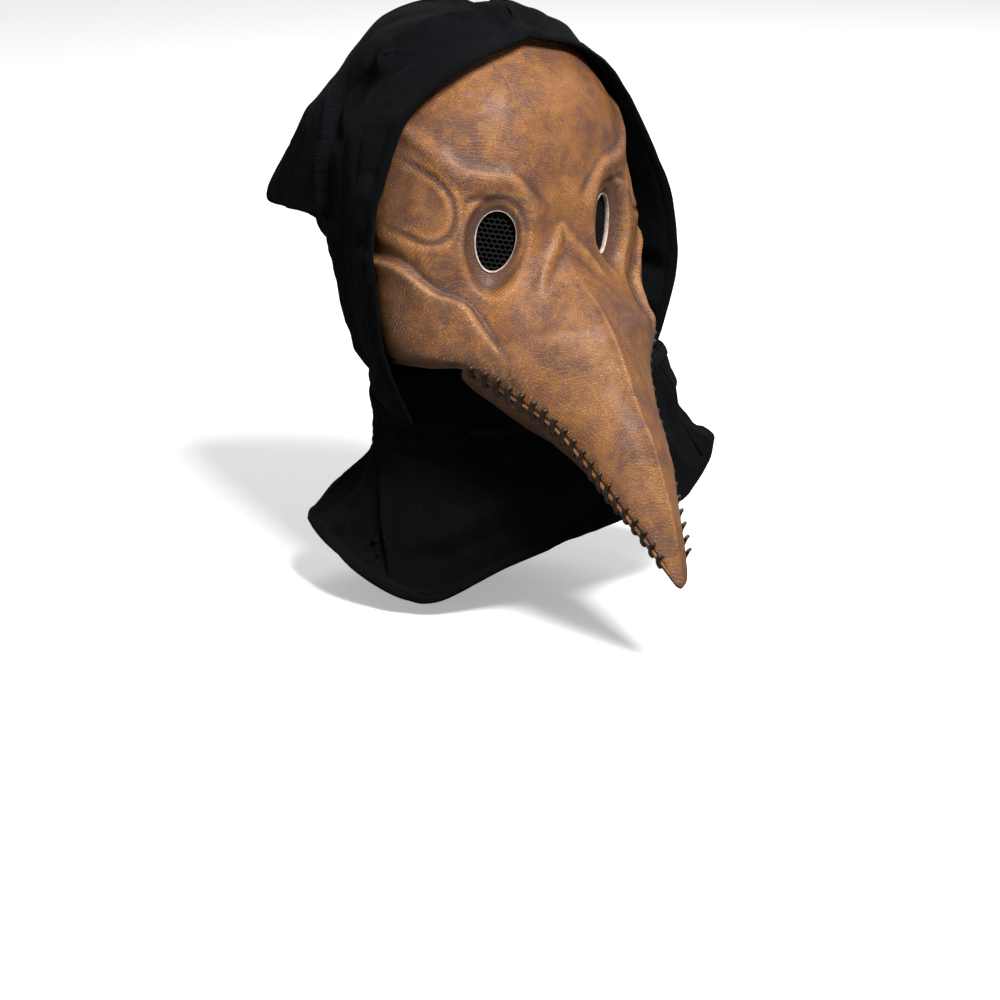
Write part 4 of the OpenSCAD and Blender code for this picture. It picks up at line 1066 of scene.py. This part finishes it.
def spread(G, r):
    """Grid G grown outwards by r cells, then smoothed, so that a push has no hard edge."""
    for _ in range(r):
        for A in (G, G.T):
            B = A.copy()
            B[1:] = np.maximum(B[1:], A[:-1])
            B[:-1] = np.maximum(B[:-1], A[1:])
            A[:] = B
    return soften(G, r)


def clear_of_mask(P, N, gap):
    """P moved out along N where it comes closer than gap to the mask."""
    Q = P.reshape(-1, 3)
    push = np.zeros(len(Q))
    for k in range(len(Q)):
        if Q[k, 1] > 12 or Q[k, 2] < -110:  # behind or below the mask
            continue
        skin, i, dist = SKIN.find(Q[k])
        if dist < 22:
            h = float(np.dot(Q[k] - np.array(skin), SKIN_N[i]))
            if h < gap:
                push[k] = min(gap - h, 9.0)
    return P + spread(push.reshape(P.shape[:2]), 3)[..., None] * N


# the band: an arc of ARC_A degrees each way round the back, then a wider arc to the tab on each side
ARC_C, ARC_R, ARC_A = np.array((0.0, 26.0)), 62.0, 38.0
TAB_X, STRAP_Z, STRAP_H, STRAP_T, LAYER = 88.0, 20.0, 22.0, 1.4, 2.7
PIVOT_Y, BAND_GAP = -38.0, 2.5
SIDE_K = (TAB_X - ARC_R) / (1 - math.sin(math.radians(ARC_A)))
SIDE_C = ARC_C - SIDE_K * np.array((math.sin(math.radians(ARC_A)), math.cos(math.radians(ARC_A))))


def band_point(a, o):
    """Point of the band a degrees from the back, o mm outside its inner face."""
    r = math.radians(abs(a))
    c, rad = (ARC_C, ARC_R) if abs(a) <= ARC_A else (SIDE_C, ARC_R + SIDE_K)
    p = c + (rad + o) * np.array((math.sin(r), math.cos(r)))
    return np.array((-p[0] if a < 0 else p[0], p[1]))


def clear_of_band(P, thick):
    """P eased outwards where its inside would come near the band, anywhere in the band's swing."""
    q = np.stack([np.abs(P[..., 0]), P[..., 1]], -1)
    ang = np.linspace(0, 90, 181)
    C = np.array([band_point(a, LAYER + STRAP_T) for a in ang])
    out = np.stack([np.sin(np.radians(ang)), np.cos(np.radians(ang))], -1)
    i = np.argmin(np.linalg.norm(q[..., None, :] - C, axis=-1), axis=-1)
    h = np.sum((q - C[i]) * out[i], -1)
    reach = STRAP_H / 2 + 0.14 * np.maximum(P[..., 1] - PIVOT_Y, 0)
    push = np.maximum(thick + BAND_GAP - h, 0) * ease(np.abs(P[..., 2] - STRAP_Z) - reach, 14, 3) * (h > -30)
    push = spread(push, 2)
    P = P.copy()
    P[..., 0] += push * out[i][..., 0] * np.sign(P[..., 0])
    P[..., 1] += push * out[i][..., 1]
    return P


def clear_of_rivets(P, thick):
    """P eased outwards over the two rivet heads."""
    lo, hi = (np.array(c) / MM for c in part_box("rivet_left"))
    near = np.hypot(P[..., 1] - (lo[1] + hi[1]) / 2, P[..., 2] - (lo[2] + hi[2]) / 2)
    lack = np.maximum(hi[0] + 1.0 + thick - np.abs(P[..., 0]), 0) * ease(near, 26.0, 9.0) * (P[..., 1] < 0)
    P = P.copy()
    P[..., 0] += np.sign(P[..., 0]) * lack
    return P


def edge_hold(n, m, rows=0.05, cols=0.04):
    """1 inside a grid, easing to 0 at its four edges."""
    r = np.linspace(0, 1, n)[:, None]
    c = np.linspace(0, 1, m)[None, :]
    return ease(np.minimum(r, 1 - r), 0, rows) * ease(np.minimum(c, 1 - c), 0, cols)


def grid_area(P):
    """Area of a grid's cells, each cut into two triangles."""
    a = np.linalg.norm(np.cross(P[1:, :-1] - P[:-1, :-1], P[:-1, 1:] - P[:-1, :-1]), axis=-1)
    b = np.linalg.norm(np.cross(P[1:, :-1] - P[1:, 1:], P[:-1, 1:] - P[1:, 1:]), axis=-1)
    return float((a.sum() + b.sum()) / 2)


def flat_size(P):
    """Width and length in metres of the rectangle that grid P is cut from, and its area."""
    wide, long = (round(np.linalg.norm(np.diff(P, axis=a), axis=-1).sum(axis=a).max() * MM, 3) for a in (1, 0))
    return (wide, long), min(grid_area(P) * MM * MM, wide * long)


def cloth_attrs(ob, P):
    """Measures across and along the flat cloth, in mm, for a wall made from grid P."""
    a = np.zeros(P.shape[:2])
    b = np.zeros(P.shape[:2])
    a[1:] = np.cumsum(np.linalg.norm(np.diff(P, axis=0), axis=-1), axis=0)
    b[:, 1:] = np.cumsum(np.linalg.norm(np.diff(P, axis=1), axis=-1), axis=1)
    set_attr(ob, "u", np.concatenate([b.reshape(-1)] * 2))
    set_attr(ob, "v", np.concatenate([a.reshape(-1)] * 2))


def make_cloth(name, point, span, size, mid_z, folds, thick, gap, seed):
    """A worn cloth panel: settled by simulation, folded, kept clear of the mask, with thickness."""
    n, m = size
    coarse = sheet_grid(point, *span, n // 3, m // 3)
    move = settle(coarse)
    base = sheet_grid(point, *span, n, m)
    hold = edge_hold(n, m)
    P = base + refine(move, n, m) * hold[..., None]
    N = grid_normals(P, inner_axis(P, *mid_z))
    d = fold_height(P, N, point, folds) * hold
    V = P.reshape(-1, 3)
    wrinkle = 0.9 * mottle(V, 24, seed) + 0.45 * mottle(V, 9, seed + 1) + 0.12 * mottle(V, 3.4, seed + 2)
    P = P + (d + wrinkle.reshape(n, m) * hold)[..., None] * N
    N = grid_normals(P, inner_axis(P, *mid_z))
    N = unit(np.stack([soften(N[..., i], 2) for i in range(3)], -1))
    if gap:
        P = clear_of_mask(P, N, gap + thick)
        P = clear_of_band(clear_of_rivets(P, thick), thick)
    ob = wall(name, P, P - thick * N)
    cloth_attrs(ob, base)
    return ob, P, N


def roll(name, V, path, width, closed):
    """Roll made of rings V, one for each point of path, with the cloth's measures along and round it."""
    n, sides = V.shape[:2]
    ob = recalc(add_mesh(name, V.reshape(-1, 3), ring_faces(n, sides, 0, closed)))
    set_attr(ob, "v", np.repeat(arc_lengths(path), sides))
    set_attr(ob, "u", np.tile(np.linspace(0, 2 * width, sides), n))
    return ob


def hem_strip(name, P, N, width, thick):
    """Turned hem along the first column of P: the edge folded back over itself, fuller on its outer side."""
    edge = P[:, 0] - 0.5 * CLOTH_T * N[:, 0]
    out = unit(P[:, 0] - P[:, 3])
    sides = 20
    V = []
    for k in range(sides):
        x, y = math.cos(2 * math.pi * k / sides), math.sin(2 * math.pi * k / sides)
        V.append(edge + out * (width / 2 * (x - 0.72)) + N[:, 0] * (thick / 2 * y * (1 - 0.12 * x)))
    V = np.stack(V, 1)
    V += (0.35 * mottle(V.reshape(-1, 3), 9, 31)).reshape(-1, sides)[..., None] * N[:, :1]
    return roll(name, V, edge, width, False)


HOOD_SIZE, COWL_SIZE = (264, 186), (132, 270)  # grid points along and across
HEM_W = 9.0
panels = {}
for side, rows, folds, seed in (("right", HOOD_RIGHT, FOLDS_RIGHT, 41), ("left", HOOD_LEFT, FOLDS_LEFT, 51)):
    point = hood_at(rows)
    ob, P, N = make_cloth("hood_" + side + "_panel", point, (0, 10, 0, 0.995), HOOD_SIZE, (-60, 60), folds,
                          CLOTH_T, 1.6, seed)
    finish_piece(ob, "mask", "hood_knit", HOOD, "hood_" + side)
    hem = finish_piece(hem_strip("hood_hem_" + side + "_fold", P, N, HEM_W, 3.8), "mask", "hood_hem", HEM_SHADED,
                       "hood_hem_" + side)
    flat, cut = flat_size(sheet_grid(point, 0, 10, 0, 0.995, 60, 60))
    panels[side] = (P, N)

cowls = {}
for name, a0, a1, seed in (("front", 3.52, 11.48, 61), ("back", 11.52, 18.48, 71)):
    ob, P, N = make_cloth("cowl_" + name + "_panel", cowl_at, (0, 4, a0, a1), COWL_SIZE, (-142, -142),
                          FOLDS_COWL, COWL_T, 0, seed)
    finish_piece(ob, "mask", "cowl_knit", COWL_SHADED, "cowl_" + name)
    flat, cut = flat_size(sheet_grid(cowl_at, 0, 4, a0, a1, 60, 60))
    cowls[name] = (P, N)


def ring_tube(name, path, normal, across, width, thick, sides=16, closed=True):
    """Flattened roll along a path; across and normal are its two axes at each point."""
    turns = [2 * math.pi * k / sides for k in range(sides)]
    V = [path + across * (width / 2 * math.cos(w)) + normal * (thick / 2 * math.sin(w)) for w in turns]
    return roll(name, np.stack(V, 1), path, width, closed)


def make_cowl_hem():
    """Turned hem round the lower edge of both cowl panels."""
    edges = [(P[-1], N[-1], P[-1] - P[-4]) for P, N in (cowls["front"], cowls["back"])]
    path, normal, out = (np.concatenate([e[i][1:-1] for e in edges]) for i in range(3))
    out = unit(out)
    for _ in range(10):
        path, normal, out = ((np.roll(V, 1, 0) + 2 * V + np.roll(V, -1, 0)) / 4 for V in (path, normal, out))
    normal, out = unit(normal), unit(out)
    path = path - 0.5 * COWL_T * normal + 0.4 * out
    return ring_tube("cowl_hem_fold", path, normal, out, HEM_W, 4.2)


def make_neck_binding():
    """Bias tape over the seam between hood and cowl."""
    a = np.linspace(0, 15, 301)[:-1]
    n = len(a)
    path = cowl_at(np.full(n, 0.27), a)
    up = unit(cowl_at(np.full(n, 0.12), a) - cowl_at(np.full(n, 0.42), a))
    along = unit(np.roll(path, -1, 0) - np.roll(path, 1, 0))
    normal = unit(np.cross(up, along))
    neck = np.array((4, -16, -130.0))
    normal[np.sum(normal * (path - neck), axis=1) < 0] *= -1
    height = 0.35 * mottle(path, 8, 77)
    return ring_tube("neck_binding_tape", path + normal * (0.9 + height)[:, None], normal, up, 7.5, 1.8)


finish_piece(make_cowl_hem(), "mask", "cowl_knit", HEM_SHADED, "cowl_hem")
finish_piece(make_neck_binding(), "mask", "binding", BIND, "neck_binding")


def make_seam_tape():
    """Tape over the inside of the hood's centre seam."""
    (PR, NR), (PL, NL) = panels["right"], panels["left"]
    i = np.arange(int(0.04 * len(PR)), int(0.96 * len(PR)), 2)
    normal = unit(NR[i, -4] + NL[i, -4])
    path = (PR[i, -1] + PL[i, -1]) / 2 - (CLOTH_T + 1.4) * normal
    along = unit(np.gradient(path, axis=0))
    across = unit(np.cross(along, normal))
    return ring_tube("hood_seam_tape_band", path, normal, across, 3.0, 1.6, 12, False)


finish_piece(make_seam_tape(), "mask", "binding", BIND, "hood_seam_tape")


def make_bond_tape(k):
    """Adhesive tape between the mask's outer margin and the hood's front edge."""
    T = np.linspace(0.6, 5.2, 120)
    S = np.linspace(0.955, 0.985, 8) * k
    P = mask_base(T, S)
    C = spline(CORE_LINE, T)[:, None, :]
    N = grid_normals(P, C)
    ob = wall("bond_tape_" + SIDE_NAME[k] + "_strip", P + 1.7 * N, P + 0.6 * N)
    cloth_attrs(ob, P + 1.7 * N)
    return ob


for k, nm in SIDES:
    finish_piece(make_bond_tape(k), "mask", "binding", BIND, "bond_tape_" + nm)

# ---------------------------------------------------------------- elastic band
def make_band(k, lift):
    """Woven elastic, with ribs along it and a rolled selvedge; lift is how far out it lies where doubled."""
    ang = np.linspace(-31, 90, 240)
    z = np.linspace(-STRAP_H / 2, STRAP_H / 2, 56)
    surface = 0.13 * np.cos(2 * math.pi * z / 1.57) - 0.35 * bell(STRAP_H / 2 - np.abs(z), 0.7)
    A = np.zeros((len(ang), len(z), 3))
    A[..., 2] = STRAP_Z + z
    B = A.copy()
    for i, a in enumerate(ang):
        off = lift * (1 - ease(abs(a), 34, 46))
        zig = 0.05 * math.cos(2 * math.pi * i / 6)
        for j in range(len(z)):
            A[i, j, :2] = band_point(a, off + STRAP_T - 0.15 + surface[j] + zig)
            B[i, j, :2] = band_point(a, off + 0.15 - surface[j] - zig)
    A[..., 0] *= k
    B[..., 0] *= k
    ob = wall("strap_" + SIDE_NAME[k] + "_band", A, B)
    cloth_attrs(ob, A)
    return ob


finish_piece(make_band(1, LAYER), "strap", "elastic", ELASTIC, "strap_left")
finish_piece(make_band(-1, 0.0), "strap", "elastic", ELASTIC, "strap_right")

# ---------------------------------------------------------------- stage, light, camera
FLOOR_Z = -0.262
bpy.ops.mesh.primitive_plane_add(size=14, location=(0, 0, FLOOR_Z))
floor = bpy.context.object
floor.name = "floor"
floor.data.materials.append(Nodes("floor_white").surface({
    "Base Color": (0.93, 0.93, 0.93), "Roughness": 0.9,
    "Emission Color": (1, 1, 1), "Emission Strength": 0.35}))
floor.visible_diffuse = False
floor.visible_glossy = False

world = bpy.data.worlds.new("studio")
bpy.context.scene.world = world
world.use_nodes = True
tree = world.node_tree
light = tree.nodes["Background"]
sweep = tree.nodes.new("ShaderNodeBackground")  # the white sweep that the camera sees
for background, strength in ((light, 0.20), (sweep, 1.0)):
    background.inputs["Color"].default_value = (1, 1, 1, 1)
    background.inputs["Strength"].default_value = strength
seen = tree.nodes.new("ShaderNodeLightPath")
either = tree.nodes.new("ShaderNodeMixShader")
for socket, output in ((either.inputs[0], seen.outputs["Is Camera Ray"]), (either.inputs[1], light.outputs[0]),
                       (either.inputs[2], sweep.outputs[0]),
                       (tree.nodes["World Output"].inputs[0], either.outputs[0])):
    tree.links.new(output, socket)


def area(name, place, target, size, energy, col):
    """Rectangular lamp turned to a target."""
    lamp = bpy.data.lights.new(name, "AREA")
    lamp.shape = "RECTANGLE"
    lamp.size, lamp.size_y = size
    lamp.energy = energy
    lamp.color = col
    ob = bpy.data.objects.new(name, lamp)
    bpy.context.scene.collection.objects.link(ob)
    ob.location = place
    ob.rotation_euler = (Vector(target) - Vector(place)).to_track_quat("-Z", "Y").to_euler()


area("key", (-0.26, -1.48, 1.66), (0, -0.1, 0), (0.6, 0.6), 104, (1.0, 0.97, 0.93))
area("fill", (-1.7, -1.3, 0.2), (0, 0, 0), (1.2, 1.2), 7, (0.95, 0.97, 1.0))
area("rim", (1.3, 1.0, 1.2), (0, 0, 0), (1.0, 1.0), 14, (0.95, 0.98, 1.0))

# The camera looks at the bridge of the nose, which stands off the middle of the frame.
TURN, RISE, AWAY = math.radians(-35), math.radians(18), 2.4
BRIDGE = Vector((0, -118, 8)) * MM
FRAME_W, SENSOR_W = 0.65, 36  # width of the view at the bridge in metres, and of the sensor in mm
OFF_RIGHT, OFF_UP = 0.0403, 0.1742
back = Vector((math.sin(TURN) * math.cos(RISE), -math.cos(TURN) * math.cos(RISE), math.sin(RISE)))
right = Vector((math.cos(TURN), math.sin(TURN), 0))
up = right.cross(-back).normalized()
cam_data = bpy.data.cameras.new("camera")
cam_data.sensor_width = SENSOR_W
cam_data.lens = SENSOR_W * AWAY / FRAME_W
cam = bpy.data.objects.new("camera", cam_data)
bpy.context.scene.collection.objects.link(cam)
turned = Matrix((right, up, back)).transposed().to_4x4()
cam.matrix_world = Matrix.Translation(BRIDGE + back * AWAY - right * OFF_RIGHT - up * OFF_UP) @ turned
bpy.context.scene.camera = cam
bpy.context.scene.view_settings.view_transform = "Standard"
